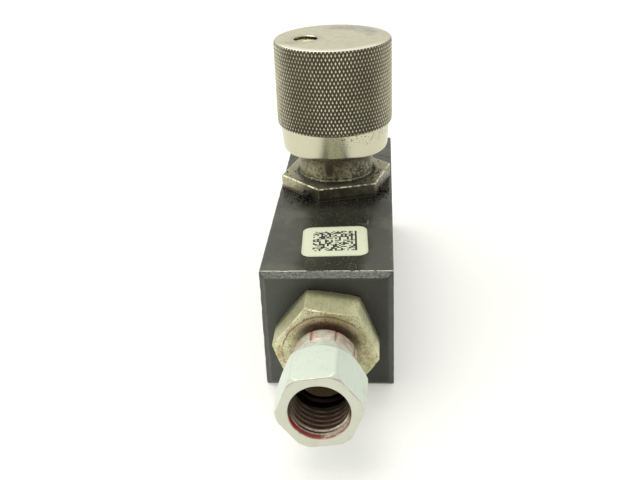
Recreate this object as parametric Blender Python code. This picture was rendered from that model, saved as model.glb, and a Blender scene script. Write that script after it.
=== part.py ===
"""Inline flow control valve: square bar body, hex bonnet, round adjusting knob
with an indicator window, and a swivel-nut adapter in the front port.

Origin: underside of the body, on the knob's axis. +Z up along the knob's axis,
+Y towards the rear port, -Y towards the swivel nut, +X to the right seen from the nut.
Dimensions are millimetres; MM turns them into metres.
Profiles are lists of (radius, height along the axis).
"""
import math

import bmesh
import bpy
from mathutils import Vector

MM = 0.001
GAP = 0.3                              # clearance between neighbouring pieces
OVERCUT = 1.0                          # how far a cutter runs past the face it opens
SHARP_ANGLE = math.radians(35)         # edges steeper than this are shaded sharp
FORWARD = (math.pi / 2, 0, 0)          # local +Z points to the front (-Y), local +Y up
BACKWARD = (-math.pi / 2, 0, 0)        # local +Z points to the rear (+Y)
SIDEWAYS = (0, math.pi / 2, 0)         # local +Z points to +X

for old in list(bpy.data.objects):
    bpy.data.objects.remove(old, do_unlink=True)


# ---- helpers ----------------------------------------------------------------
def material(name, colour, metallic, roughness):
    mat = bpy.data.materials.new(name)
    mat.use_nodes = True
    bsdf = mat.node_tree.nodes["Principled BSDF"]
    bsdf.inputs["Base Color"].default_value = (*colour, 1.0)
    bsdf.inputs["Metallic"].default_value = metallic
    bsdf.inputs["Roughness"].default_value = roughness
    mat.diffuse_color = (*colour, 1.0)
    return mat


def world_location(obj):
    total = Vector((0, 0, 0))
    while obj is not None:
        total += obj.location
        obj = obj.parent
    return total


def place(obj, at, parent):
    """Link obj to the scene at a world position in millimetres, under its parent."""
    bpy.context.scene.collection.objects.link(obj)
    obj.location = Vector(at) * MM - world_location(parent)
    obj.parent = parent


def joint_axis(name, at, parent=None):
    """Empty that marks a joint; the pieces that move with it are its children."""
    marker = bpy.data.objects.new(name, None)
    marker.empty_display_size = 0.004
    place(marker, at, parent)
    return marker


def to_object(bm, name, mat=None, at=(0, 0, 0), rot=(0, 0, 0), parent=None, smooth=True):
    """Finish a bmesh (in millimetres) as an object at a world position."""
    bmesh.ops.scale(bm, vec=(MM, MM, MM), verts=bm.verts)
    bmesh.ops.recalc_face_normals(bm, faces=bm.faces)
    mesh = bpy.data.meshes.new(name)
    bm.to_mesh(mesh)
    bm.free()
    if smooth:
        mesh.shade_smooth()
        mesh.set_sharp_from_angle(angle=SHARP_ANGLE)
    obj = bpy.data.objects.new(name, mesh)
    place(obj, at, parent)
    obj.rotation_euler = rot
    if mat:
        mesh.materials.append(mat)
    return obj


def turned(name, profile, segments, mat=None, **placing):
    """Spin a profile about Z. If neither end is on the axis it closes into a ring."""
    bm = bmesh.new()
    verts = [bm.verts.new((r, 0, z)) for r, z in profile]
    edges = [bm.edges.new(pair) for pair in zip(verts, verts[1:])]
    if profile[0][0] > 0 and profile[-1][0] > 0:
        edges.append(bm.edges.new((verts[-1], verts[0])))
    bmesh.ops.spin(bm, geom=verts + edges, cent=(0, 0, 0), axis=(0, 0, 1),
                   angle=2 * math.pi, steps=segments, use_merge=True)
    bmesh.ops.remove_doubles(bm, verts=bm.verts, dist=0.001)
    return to_object(bm, name, mat, **placing)


def prism(name, sides, across_flats, z0, z1, phase, mat=None, **placing):
    """Regular prism with a corner at the given phase."""
    corner_r = across_flats / 2 / math.cos(math.pi / sides)
    bm = bmesh.new()
    bmesh.ops.create_cone(bm, cap_ends=True, cap_tris=False, segments=sides,
                          radius1=corner_r, radius2=corner_r, depth=z1 - z0)
    first = max(bm.verts, key=lambda v: (v.co.y, v.co.z))
    turn = phase - math.atan2(first.co.y, first.co.x)
    for vert in bm.verts:
        x, y, z = vert.co
        vert.co = (x * math.cos(turn) - y * math.sin(turn),
                   x * math.sin(turn) + y * math.cos(turn),
                   z + (z0 + z1) / 2)
    return to_object(bm, name, mat, smooth=False, **placing)


def box_bm(size, centre=(0, 0, 0)):
    bm = bmesh.new()
    bmesh.ops.create_cube(bm, size=1.0)
    bmesh.ops.scale(bm, vec=size, verts=bm.verts)
    bmesh.ops.translate(bm, vec=centre, verts=bm.verts)
    return bm


def combine(obj, tool, operation):
    """Boolean modifier on obj; the tool stays as a hidden wire object."""
    mod = obj.modifiers.new(tool.name, "BOOLEAN")
    mod.operation = operation
    mod.solver = "EXACT"
    mod.object = tool
    tool.hide_render = True
    tool.display_type = "WIRE"


def cut(obj, tool):
    combine(obj, tool, "DIFFERENCE")


def rod(r, z0, z1, bevel=0.0):
    """Profile of a plain rod, with its end edges bevelled if asked."""
    if bevel:
        return [(0, z0), (r - bevel, z0), (r, z0 + bevel),
                (r, z1 - bevel), (r - bevel, z1), (0, z1)]
    return [(0, z0), (r, z0), (r, z1), (0, z1)]


def band(r_inner, r_outer, z0, z1):
    """Profile of a flat ring."""
    return [(r_inner, z0), (r_outer, z0), (r_outer, z1), (r_inner, z1)]


def ring_section(centre_r, centre_z, r, sides=8):
    """Round section of a ring seal, as a closed profile."""
    angles = [2 * math.pi * k / sides for k in range(sides)]
    return [(centre_r + r * math.cos(a), centre_z + r * math.sin(a)) for a in angles]


# ---- materials --------------------------------------------------------------
black_steel = material("black_finish_steel", colour=(0.035, 0.036, 0.032),
                       metallic=0.6, roughness=0.45)
bonnet_steel = material("bonnet_steel", colour=(0.42, 0.38, 0.27), metallic=0.8, roughness=0.42)
sleeve_steel = material("sleeve_steel", colour=(0.45, 0.42, 0.32), metallic=0.8, roughness=0.38)
stem_steel = material("stem_steel", colour=(0.62, 0.61, 0.58), metallic=1.0, roughness=0.28)
knob_alloy = material("knob_aluminium", colour=(0.62, 0.59, 0.48), metallic=0.9, roughness=0.36)
yellow_zinc = material("adapter_zinc", colour=(0.50, 0.49, 0.33), metallic=0.9, roughness=0.34)
pale_zinc = material("nut_zinc", colour=(0.66, 0.69, 0.62), metallic=0.95, roughness=0.26)
seal_rubber = material("seal_rubber", colour=(0.02, 0.02, 0.02), metallic=0.0, roughness=0.6)
backup_plastic = material("backup_plastic", colour=(0.80, 0.79, 0.74),
                          metallic=0.0, roughness=0.45)
spring_steel = material("spring_steel", colour=(0.55, 0.55, 0.54), metallic=1.0, roughness=0.25)
screw_steel = material("screw_black_steel", colour=(0.05, 0.05, 0.05),
                       metallic=0.8, roughness=0.4)
dial_plastic = material("dial_yellow", colour=(0.80, 0.62, 0.08), metallic=0.0, roughness=0.4)
lens_plastic = material("lens_clear", colour=(0.90, 0.92, 0.92), metallic=0.0, roughness=0.08)
label_vinyl = material("label_white", colour=(0.78, 0.82, 0.78), metallic=0.0, roughness=0.45)

# ---- joint axes -------------------------------------------------------------
BODY_FRONT = -45.4                     # front face (adapter side)
BODY_W = 25.4                          # square section
PORT_Z = BODY_W / 2                    # height of both port axes
LOCK_Z = 37.3

stem_lift = joint_axis("axis_stem_lift", (0, 0, 45))
knob_turn = joint_axis("axis_knob_turn", (0, 0, 50), stem_lift)
lock_feed = joint_axis("axis_lock_screw", (0, 10.2, LOCK_Z), knob_turn)
check_lift = joint_axis("axis_check_lift", (0, 0, 10))
swivel_spin = joint_axis("axis_swivel_spin", (0, BODY_FRONT - 17.0, PORT_Z))

# ---- valve body: square bar, chamfered round both end faces -----------------
BODY_REAR = 30.8                       # rear face (open port)
END_CHAMFER = 1.05
PORT_R_MOUTH = 8.85                    # taper pipe port at the face
PORT_R_DEEP, PORT_TAPER_LEN = 8.45, 12.4
PORT_R_DRILL, PORT_DRILL_LEN = 8.2, 15.9
WAY_OVERLAP = 1.0                      # how far each way runs into its port
FRONT_WAY_R, FRONT_WAY_Z, FRONT_WAY_END = 1.8, 6.4, -2.0   # front port to under the seat
REAR_WAY_R, REAR_WAY_START = 2.8, 5.5                      # over the seat to the rear port
BORE_R, BORE_FLOOR = 8.3, 16.7         # bonnet bore
UPPER_R, UPPER_FLOOR = 7.0, 9.4        # chamber over the seat
THROAT_R, THROAT_FLOOR = 3.35, 8.6     # seat throat
LOWER_R, LOWER_FLOOR = 4.2, 3.0        # chamber under the seat
LOWER_CHAMFER = 0.8


def build_body():
    bm = box_bm((BODY_W, BODY_REAR - BODY_FRONT, BODY_W),
                (0, (BODY_REAR + BODY_FRONT) / 2, BODY_W / 2))
    end_edges = [e for e in bm.edges if abs(e.verts[0].co.y - e.verts[1].co.y) < 1e-6]
    bmesh.ops.bevel(bm, geom=end_edges, offset=END_CHAMFER, segments=1, profile=0.5,
                    affect="EDGES", clamp_overlap=True)
    body = to_object(bm, "valve_body", black_steel, smooth=False)

    cut(body, turned("cut_bonnet_bore", [
        (0, BODY_W + OVERCUT), (BORE_R + 0.5, BODY_W + OVERCUT), (BORE_R + 0.5, BODY_W - 0.2),
        (BORE_R, BODY_W - 0.7), (BORE_R, BORE_FLOOR), (UPPER_R, BORE_FLOOR),
        (UPPER_R, UPPER_FLOOR), (THROAT_R, UPPER_FLOOR), (THROAT_R, THROAT_FLOOR),
        (LOWER_R, THROAT_FLOOR), (LOWER_R, LOWER_FLOOR + LOWER_CHAMFER),
        (LOWER_R - LOWER_CHAMFER, LOWER_FLOOR), (0, LOWER_FLOOR)], segments=40))

    mouth_r = PORT_R_MOUTH + 0.35
    port = [(0, -OVERCUT), (mouth_r, -OVERCUT), (mouth_r, 0), (PORT_R_MOUTH, 0.5),
            (PORT_R_DEEP, PORT_TAPER_LEN), (PORT_R_DRILL, PORT_TAPER_LEN),
            (PORT_R_DRILL, PORT_DRILL_LEN), (0, PORT_DRILL_LEN)]
    for side, face_y, rot in (("front", BODY_FRONT, BACKWARD), ("rear", BODY_REAR, FORWARD)):
        cut(body, turned(f"cut_{side}_port", port, segments=40, at=(0, face_y, PORT_Z), rot=rot))

    way_reach = PORT_DRILL_LEN - WAY_OVERLAP
    ways = (("front", FRONT_WAY_R, BODY_FRONT + way_reach, FRONT_WAY_END, FRONT_WAY_Z),
            ("rear", REAR_WAY_R, REAR_WAY_START, BODY_REAR - way_reach, PORT_Z))
    for side, r, start_y, end_y, z in ways:
        cut(body, turned(f"cut_{side}_way", rod(r, 0, end_y - start_y), segments=20,
                         at=(0, start_y, z), rot=BACKWARD))


# ---- bonnet: hex, plain shank in the bore, tube up the middle ---------------
HEX_AF, HEX_PHASE = 22.2, math.pi + 0.257
HEX_BOTTOM, HEX_TOP = BODY_W + GAP, 28.48
SHANK_R, SHANK_BOTTOM = BORE_R - GAP, BORE_FLOOR + GAP
SEAL_GROOVE_R, SEAL_GROOVE_Z0, SEAL_GROOVE_Z1 = 6.4, 18.6, 20.6
TUBE_R, TUBE_TOP = 5.2, 46.0
BONNET_BREAK = 0.4                     # broken edges of shank and tube
STEM_R = 3.0
THREAD_BORE_R = STEM_R + GAP
LOWER_BORE_R, LOWER_BORE_TOP = 3.9, 20.7
NECK_R = 3.05                          # neck between lower bore and seal gland
GLAND_R, GLAND_BOTTOM, GLAND_TOP = 4.9, 21.5, 24.4


def build_bonnet():
    shoulder = HEX_BOTTOM + 0.6        # inside the hex, so the solids overlap
    bonnet = prism("bonnet", 6, HEX_AF, HEX_BOTTOM, HEX_TOP, HEX_PHASE, bonnet_steel)
    combine(bonnet, turned("add_bonnet_shank", [
        (0, SHANK_BOTTOM), (SHANK_R - BONNET_BREAK, SHANK_BOTTOM),
        (SHANK_R, SHANK_BOTTOM + BONNET_BREAK),
        (SHANK_R, SEAL_GROOVE_Z0), (SEAL_GROOVE_R, SEAL_GROOVE_Z0),
        (SEAL_GROOVE_R, SEAL_GROOVE_Z1), (SHANK_R, SEAL_GROOVE_Z1),
        (SHANK_R, shoulder), (TUBE_R, shoulder), (TUBE_R, TUBE_TOP - BONNET_BREAK),
        (TUBE_R - BONNET_BREAK, TUBE_TOP), (0, TUBE_TOP)], segments=40), "UNION")
    bottom, top = SHANK_BOTTOM - OVERCUT, TUBE_TOP + OVERCUT
    cut(bonnet, turned("cut_bonnet_inside", [
        (0, bottom), (LOWER_BORE_R, bottom), (LOWER_BORE_R, LOWER_BORE_TOP),
        (NECK_R, LOWER_BORE_TOP), (NECK_R, GLAND_BOTTOM), (GLAND_R, GLAND_BOTTOM),
        (GLAND_R, GLAND_TOP), (THREAD_BORE_R, GLAND_TOP), (THREAD_BORE_R, top), (0, top)],
        segments=32))


# ---- sleeve round the bonnet tube, with a key hole at front and rear --------
SLEEVE_R, SLEEVE_BORE_R = 8.39, TUBE_R + GAP
SLEEVE_BOTTOM, SLEEVE_TOP = HEX_TOP + GAP, 49.6
SLEEVE_LIP, SLEEVE_BREAK = 0.3, 0.4
KEY_R, KEY_CIRCLE_R = 0.7, 6.95
KEY_HOLE_R, KEY_HOLE_FLOOR = KEY_R + GAP, 40.8
KEY_PLACES = (("front", (0, -KEY_CIRCLE_R, 0)), ("rear", (0, KEY_CIRCLE_R, 0)))


def build_sleeve():
    lip_r = SLEEVE_R + SLEEVE_LIP
    sleeve = turned("bonnet_sleeve", [
        (SLEEVE_BORE_R, SLEEVE_BOTTOM), (lip_r, SLEEVE_BOTTOM), (lip_r, SLEEVE_BOTTOM + 0.35),
        (SLEEVE_R, SLEEVE_BOTTOM + 0.55), (SLEEVE_R, SLEEVE_TOP - SLEEVE_BREAK),
        (SLEEVE_R - SLEEVE_BREAK, SLEEVE_TOP), (SLEEVE_BORE_R, SLEEVE_TOP)],
        segments=40, mat=sleeve_steel)
    for side, spot in KEY_PLACES:
        cut(sleeve, turned("cut_key_slot_" + side,
                           rod(KEY_HOLE_R, KEY_HOLE_FLOOR, SLEEVE_TOP + OVERCUT),
                           segments=16, at=spot))


# ---- seals: one round the shank, two round the stem -------------------------
SHANK_SEAL_R, STEM_SEAL_R, STEM_SEAL_Z = 0.65, 0.75, 22.6
BACKUP_R, BACKUP_T = 4.6, 0.5


def build_seals():
    groove_mid = (SEAL_GROOVE_Z0 + SEAL_GROOVE_Z1) / 2
    turned("bonnet_o_ring", ring_section(SHANK_R - SHANK_SEAL_R, groove_mid, SHANK_SEAL_R),
           segments=28, mat=seal_rubber)
    turned("stem_o_ring", ring_section(NECK_R + STEM_SEAL_R, STEM_SEAL_Z, STEM_SEAL_R),
           segments=24, mat=seal_rubber)
    backup_top = GLAND_TOP - GAP
    turned("stem_backup_ring", band(NECK_R, BACKUP_R, backup_top - BACKUP_T, backup_top),
           segments=24, mat=backup_plastic)


# ---- knob: wide grip, narrower skirt, hub under the top ---------------------
KNOB_R, KNOB_TOP, GRIP_BOTTOM = 12.85, 58.93, 40.25
SKIRT_R, SKIRT_BOTTOM = 11.79, 34.34
KNOB_BORE_R, KNOB_CEILING = 8.7, 56.7
KNOB_BREAK = 0.3
STEM_TIP_R, STEM_TIP_TOP = 1.7, 55.6   # stem end that enters the hub
HUB_R, HUB_BOTTOM = 3.3, 51.0
HUB_BORE_R, HUB_BORE_TOP = STEM_TIP_R + GAP, STEM_TIP_TOP + GAP
LENS_R = 2.3
WINDOW_AT = (-5.75, -0.7, 0)
WINDOW_R, WINDOW_STEP_R, WINDOW_STEP_Z = LENS_R + GAP, 2.1, 57.5
PIN_R = 0.6
PIN_HOLE_R = PIN_R + GAP
PIN_PLACE = dict(at=(0, 0, 53.3), rot=SIDEWAYS, parent=knob_turn)
LOCK_R = 1.0


def build_knob():
    knob = turned("knob", [
        (0, KNOB_TOP), (KNOB_R - KNOB_BREAK, KNOB_TOP), (KNOB_R, KNOB_TOP - KNOB_BREAK),
        (KNOB_R, GRIP_BOTTOM + 1.0), (KNOB_R - 0.25, GRIP_BOTTOM + 0.4), (SKIRT_R, GRIP_BOTTOM),
        (SKIRT_R, SKIRT_BOTTOM + 0.9), (SKIRT_R - 0.3, SKIRT_BOTTOM + 0.3),
        (SKIRT_R - 0.9, SKIRT_BOTTOM), (KNOB_BORE_R + KNOB_BREAK, SKIRT_BOTTOM),
        (KNOB_BORE_R, SKIRT_BOTTOM + KNOB_BREAK), (KNOB_BORE_R, KNOB_CEILING),
        (HUB_R, KNOB_CEILING), (HUB_R, HUB_BOTTOM), (HUB_BORE_R, HUB_BOTTOM),
        (HUB_BORE_R, HUB_BORE_TOP), (0, HUB_BORE_TOP)],
        segments=48, mat=knob_alloy, parent=knob_turn)
    top, bottom = KNOB_TOP + OVERCUT, KNOB_CEILING - OVERCUT
    cut(knob, turned("cut_window", [
        (0, top), (WINDOW_R, top), (WINDOW_R, WINDOW_STEP_Z),
        (WINDOW_STEP_R, WINDOW_STEP_Z), (WINDOW_STEP_R, bottom), (0, bottom)],
        segments=24, at=WINDOW_AT, parent=knob_turn))
    cut(knob, turned("cut_hub_pin_hole", rod(PIN_HOLE_R, -3.6, 3.6), segments=16, **PIN_PLACE))
    cut(knob, turned("cut_lock_screw_hole", rod(LOCK_R + GAP, 7.5, 13.0), segments=16,
                     at=(0, 0, LOCK_Z), rot=BACKWARD, parent=knob_turn))


def build_lens():
    bottom, top, bevel = WINDOW_STEP_Z + GAP, 58.45, 0.15
    turned("window_lens", [(0, bottom), (LENS_R, bottom), (LENS_R, top - bevel),
                           (LENS_R - bevel, top), (0, top)],
           segments=24, mat=lens_plastic, at=WINDOW_AT, parent=knob_turn)


# ---- stem, its cross pin and stop ring, and the metering needle -------------
STEM_LOW_R, STEM_BOTTOM, STEM_TOP = 2.7, 17.8, 50.7
STOP_GROOVE_R, STOP_GROOVE_Z0, STOP_GROOVE_Z1 = 2.0, 18.0, 19.1
STOP_R = 3.5
STOP_GAP_SIZE, STOP_GAP_Y = (3.0, 4.0, 2.0), -3.0
NEEDLE_R, NEEDLE_SHANK_R = 1.4, 1.0
NEEDLE_BORE_TOP = 22.2                 # bore in the stem for the needle's shank


def build_stem():
    needle_bore_r = NEEDLE_SHANK_R + GAP
    stem = turned("valve_stem", [
        (0, NEEDLE_BORE_TOP), (needle_bore_r, NEEDLE_BORE_TOP), (needle_bore_r, STEM_BOTTOM),
        (STEM_LOW_R - 0.2, STEM_BOTTOM), (STEM_LOW_R, STEM_BOTTOM + 0.1),
        (STEM_LOW_R, STOP_GROOVE_Z0), (STOP_GROOVE_R, STOP_GROOVE_Z0),
        (STOP_GROOVE_R, STOP_GROOVE_Z1), (STEM_LOW_R, STOP_GROOVE_Z1),
        (STEM_LOW_R, 29.2), (STEM_R, 29.5), (STEM_R, STEM_TOP - 0.3), (STEM_R - 0.3, STEM_TOP),
        (STEM_TIP_R, STEM_TOP), (STEM_TIP_R, STEM_TIP_TOP - 0.3),
        (STEM_TIP_R - 0.3, STEM_TIP_TOP), (0, STEM_TIP_TOP)],
        segments=28, mat=stem_steel, parent=knob_turn)
    cut(stem, turned("cut_stem_pin_hole", rod(PIN_HOLE_R, -3, 3), segments=16, **PIN_PLACE))
    turned("knob_drive_pin", rod(PIN_R, -3.1, 3.1, bevel=0.15), segments=14, mat=stem_steel,
           **PIN_PLACE)


def build_stop_ring():
    """Open ring in the stem's groove, with its gap to the front."""
    stop_ring = turned("stem_stop_ring",
                       band(STOP_GROOVE_R + GAP, STOP_R, STOP_GROOVE_Z0 + GAP,
                            STOP_GROOVE_Z1 - GAP),
                       segments=24, mat=spring_steel, parent=knob_turn)
    gap = box_bm(STOP_GAP_SIZE, (0, STOP_GAP_Y, (STOP_GROOVE_Z0 + STOP_GROOVE_Z1) / 2))
    cut(stop_ring, to_object(gap, "cut_stop_ring_gap", parent=knob_turn, smooth=False))


def build_needle():
    turned("metering_needle", [
        (0, 7.8), (0.5, 7.8), (NEEDLE_R, 10.8), (NEEDLE_R, 17.2),
        (NEEDLE_SHANK_R, 17.5), (NEEDLE_SHANK_R, 21.7), (0, 21.7)],
        segments=20, mat=stem_steel, parent=knob_turn)


# ---- indicator dial: slides with the stem, kept from turning by two keys ----
DIAL_R, DIAL_BOTTOM, DIAL_TOP = 8.3, 55.2, KNOB_CEILING - GAP
KEY_BOTTOM, KEY_TOP = 45.6, 56.1


def build_dial():
    dial = turned("indicator_dial", band(HUB_R + GAP, DIAL_R, DIAL_BOTTOM, DIAL_TOP),
                  segments=40, mat=dial_plastic, parent=stem_lift)
    for side, spot in KEY_PLACES:
        cut(dial, turned("cut_dial_hole_" + side, rod(KEY_HOLE_R, 54, 57.5), segments=16,
                         at=spot, parent=stem_lift))
        turned("dial_key_pin_" + side, rod(KEY_R, KEY_BOTTOM, KEY_TOP, bevel=0.2),
               segments=14, mat=stem_steel, at=spot, parent=stem_lift)


# ---- lock screw in the rear of the skirt, socket outwards -------------------
def build_lock_screw():
    lock_place = dict(at=(0, 0, LOCK_Z), rot=BACKWARD, parent=lock_feed)
    lock = turned("lock_set_screw", [
        (0, 9.0), (0.55, 9.0), (LOCK_R, 9.45), (LOCK_R, 11.2), (0.85, 11.35), (0, 11.35)],
        segments=16, mat=screw_steel, **lock_place)
    cut(lock, prism("cut_lock_socket", 6, 0.9, 10.4, 12.0, 0.0, **lock_place))


# ---- check poppet: nose in the throat, three guide fins, centre hole --------
POPPET_HOLE_R = NEEDLE_R + GAP
NOSE_R = THROAT_R - GAP
FLANGE_R, FLANGE_TOP = 5.0, 11.2
FIN_SIZE, FIN_CENTRE = (2.3, 1.0, 2.6), (5.5, 0, 11.1)
FIN_COUNT, FIN_FIRST_DEG = 3, 30


def build_poppet():
    poppet = turned("check_poppet", [
        (POPPET_HOLE_R, 8.9), (2.6, 8.9), (NOSE_R, 9.35), (NOSE_R, 9.7), (FLANGE_R, 10.0),
        (FLANGE_R, FLANGE_TOP), (2.7, FLANGE_TOP), (2.7, 11.6), (POPPET_HOLE_R, 11.6)],
        segments=32, mat=stem_steel, parent=check_lift)
    for k in range(FIN_COUNT):
        angle = math.radians(FIN_FIRST_DEG + 360 / FIN_COUNT * k)
        fin = to_object(box_bm(FIN_SIZE, FIN_CENTRE), f"add_guide_fin_{k + 1}",
                        rot=(0, 0, angle), parent=check_lift, smooth=False)
        combine(poppet, fin, "UNION")


# ---- spring: one coil, nearly flat over the turn at each end ----------------
SPRING_R, WIRE_R, SPRING_TURNS = 4.1, 0.3, 4
SPRING_BOTTOM, SPRING_TOP = FLANGE_TOP + GAP, SHANK_BOTTOM - GAP
END_TURNS, END_LIFT = 0.9, 2.2 * WIRE_R
WIRE_SIDES, STEPS_PER_TURN = 6, 20


def coil_point(turn):
    """Point on the wire's centre line, turn running from 0 to SPRING_TURNS."""
    low, high = SPRING_BOTTOM + WIRE_R, SPRING_TOP - WIRE_R
    if turn < END_TURNS:
        z = low + END_LIFT * turn / END_TURNS
    elif turn > SPRING_TURNS - END_TURNS:
        z = high - END_LIFT * (SPRING_TURNS - turn) / END_TURNS
    else:
        rise = (high - low - 2 * END_LIFT) / (SPRING_TURNS - 2 * END_TURNS)
        z = low + END_LIFT + rise * (turn - END_TURNS)
    angle = 2 * math.pi * turn
    return Vector((SPRING_R * math.cos(angle), SPRING_R * math.sin(angle), z))


def build_spring():
    bm = bmesh.new()
    rings = []
    half_step = 0.5 / STEPS_PER_TURN
    for i in range(SPRING_TURNS * STEPS_PER_TURN + 1):
        turn = i / STEPS_PER_TURN
        centre = coil_point(turn)
        ahead = coil_point(min(SPRING_TURNS, turn + half_step))
        tangent = (ahead - coil_point(max(0.0, turn - half_step))).normalized()
        up = tangent.cross(Vector((centre.x, centre.y, 0)).normalized()).normalized()
        out = up.cross(tangent).normalized()
        angles = [2 * math.pi * k / WIRE_SIDES for k in range(WIRE_SIDES)]
        rings.append([bm.verts.new(centre + WIRE_R * (math.cos(a) * out + math.sin(a) * up))
                      for a in angles])
    for ring, following in zip(rings, rings[1:]):
        for k in range(WIRE_SIDES):
            j = (k + 1) % WIRE_SIDES
            bm.faces.new((ring[k], ring[j], following[j], following[k]))
    bm.faces.new(rings[0])
    bm.faces.new(rings[-1])
    to_object(bm, "check_spring", spring_steel)


# ---- adapter: pipe end in the port, hex, nipple with a flared seat ----------
# Adapter and nut heights run forward from the body's front face.
ON_FRONT = dict(at=(0, BODY_FRONT, PORT_Z), rot=FORWARD)
ADAPTER_AF, ADAPTER_PHASE = 17.5, math.radians(111.1)
ADAPTER_HEX_TOP = 7.6
ADAPTER_BORE_R, FLARE_R = 2.4, 4.2
NIPPLE_R, NIPPLE_HEAD_R, NIPPLE_FACE = 3.7, 4.6, 14.2


def build_adapter():
    top = ADAPTER_HEX_TOP
    adapter = prism("front_adapter", 6, ADAPTER_AF, GAP, top, ADAPTER_PHASE, yellow_zinc,
                    **ON_FRONT)
    combine(adapter, turned("trim_adapter_corners", [
        (0, -1), (12, -1), (12, top - 1.7), (9.0, top), (0, top)],
        segments=36, **ON_FRONT), "INTERSECT")
    combine(adapter, turned("add_adapter_turned", [
        (0, -11.9), (8.0, -11.9), (8.15, -11.5), (8.53, -0.5), (7.6, 0.2), (7.6, 2.0),
        (NIPPLE_R, 2.0), (NIPPLE_R, 10.8), (NIPPLE_HEAD_R, 11.6),
        (NIPPLE_HEAD_R, NIPPLE_FACE - 0.2), (NIPPLE_HEAD_R - 0.2, NIPPLE_FACE),
        (0, NIPPLE_FACE)], segments=36, **ON_FRONT), "UNION")
    cut(adapter, turned("cut_adapter_recess", band(4.5, 6.6, top - 0.4, top + OVERCUT),
                        segments=36, **ON_FRONT))
    cut(adapter, turned("cut_adapter_bore", [
        (0, -13), (ADAPTER_BORE_R, -13), (ADAPTER_BORE_R, 11.8), (FLARE_R, NIPPLE_FACE),
        (FLARE_R, NIPPLE_FACE + OVERCUT), (0, NIPPLE_FACE + OVERCUT)],
        segments=24, **ON_FRONT))


# ---- swivel nut: crimped collar, rear shoulder, hex, grooved mouth ----------
NUT_AF, NUT_FRONT, NUT_PHASE = 14.29, 25.46, math.radians(7.5)
COLLAR_R, COLLAR_REAR = 5.84, 8.4
CRIMP_END, CRIMP_SIDES = 11.7, 8
SHOULDER, SHOULDER_R, CONE_SLOPE = 14.8, 6.7, 0.62
TRIM_R = 9.0                           # outside the hex corners
MINOR_R, ROOT_R, THREAD_PITCH, THREAD_START = 4.95, 5.5, 1.27, 16.8
# One thread groove: (radius, height from the start of the pitch).
THREAD_STEPS = ((MINOR_R, 0), (MINOR_R, 0.32), (ROOT_R, 0.72), (ROOT_R, 0.87))
MOUTH_R, MOUTH_DEPTH = 5.6, 0.6


def nut_bore_profile():
    thread_end = NUT_FRONT - MOUTH_DEPTH
    rear = COLLAR_REAR - OVERCUT
    bore = [(0, rear), (4.05, rear), (4.05, 10.5), (5.0, 11.3), (5.0, 14.7),
            (5.65, 15.1), (5.65, 16.4)]
    height = THREAD_START
    while height + THREAD_PITCH < thread_end:
        bore += [(r, height + step) for r, step in THREAD_STEPS]
        height += THREAD_PITCH
    return bore + [(MINOR_R, height), (MINOR_R, thread_end), (MOUTH_R, NUT_FRONT),
                   (MOUTH_R, NUT_FRONT + OVERCUT), (0, NUT_FRONT + OVERCUT)]


def build_nut():
    on_nut = dict(ON_FRONT, parent=swivel_spin)
    nut = prism("swivel_nut", 6, NUT_AF, SHOULDER - 0.5, NUT_FRONT, NUT_PHASE, pale_zinc,
                **on_nut)
    combine(nut, turned("trim_nut_corners", [
        (0, SHOULDER), (SHOULDER_R, SHOULDER),
        (TRIM_R, SHOULDER + (TRIM_R - SHOULDER_R) / CONE_SLOPE),
        (TRIM_R, NUT_FRONT - 4.5), (6.75, NUT_FRONT), (0, NUT_FRONT)],
        segments=36, **on_nut), "INTERSECT")
    combine(nut, turned("add_nut_collar", [
        (0, CRIMP_END - 0.4), (5.5, CRIMP_END - 0.4), (COLLAR_R, CRIMP_END),
        (COLLAR_R, SHOULDER + 0.6), (0, SHOULDER + 0.6)], segments=32, **on_nut), "UNION")
    combine(nut, prism("add_crimp_panels", CRIMP_SIDES, 2 * (COLLAR_R - 0.35), COLLAR_REAR,
                       CRIMP_END, math.radians(90 + 180 / CRIMP_SIDES), **on_nut), "UNION")
    cut(nut, turned("cut_nut_bore", nut_bore_profile(), segments=32, **on_nut))


# ---- label on the body's top face -------------------------------------------
LABEL_X, LABEL_Y, LABEL_LIFT = 1.1, -31.8, 0.06
LABEL_W, LABEL_D, LABEL_T = 13.1, 13.2, 0.15
LABEL_CORNER_R, LABEL_TURN = 2.0, math.radians(2.5)


def build_label():
    bm = box_bm((LABEL_W, LABEL_D, LABEL_T))
    upright = [e for e in bm.edges
               if abs(e.verts[0].co.z - e.verts[1].co.z) > 0.5 * LABEL_T]
    bmesh.ops.bevel(bm, geom=upright, offset=LABEL_CORNER_R, segments=5, profile=0.5,
                    affect="EDGES")
    to_object(bm, "asset_label", label_vinyl, rot=(0, 0, LABEL_TURN), smooth=False,
              at=(LABEL_X, LABEL_Y, BODY_W + LABEL_LIFT + LABEL_T / 2))


build_body()
build_bonnet()
build_sleeve()
build_seals()
build_knob()
build_lens()
build_stem()
build_stop_ring()
build_needle()
build_dial()
build_lock_screw()
build_poppet()
build_spring()
build_adapter()
build_nut()
build_label()
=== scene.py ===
# A small hand valve. A square black bar lies along Y on the floor at z = 0; a hex bonnet, its neck
# and a knurled knob stand on it along the Z axis. A hex adapter and a swivel nut reach out of the
# bar's front face, towards -Y. Lengths are in millimetres unless a comment says otherwise.
import math
import random

import bmesh
import bpy
import numpy as np
from mathutils import Matrix, Vector, noise


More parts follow.
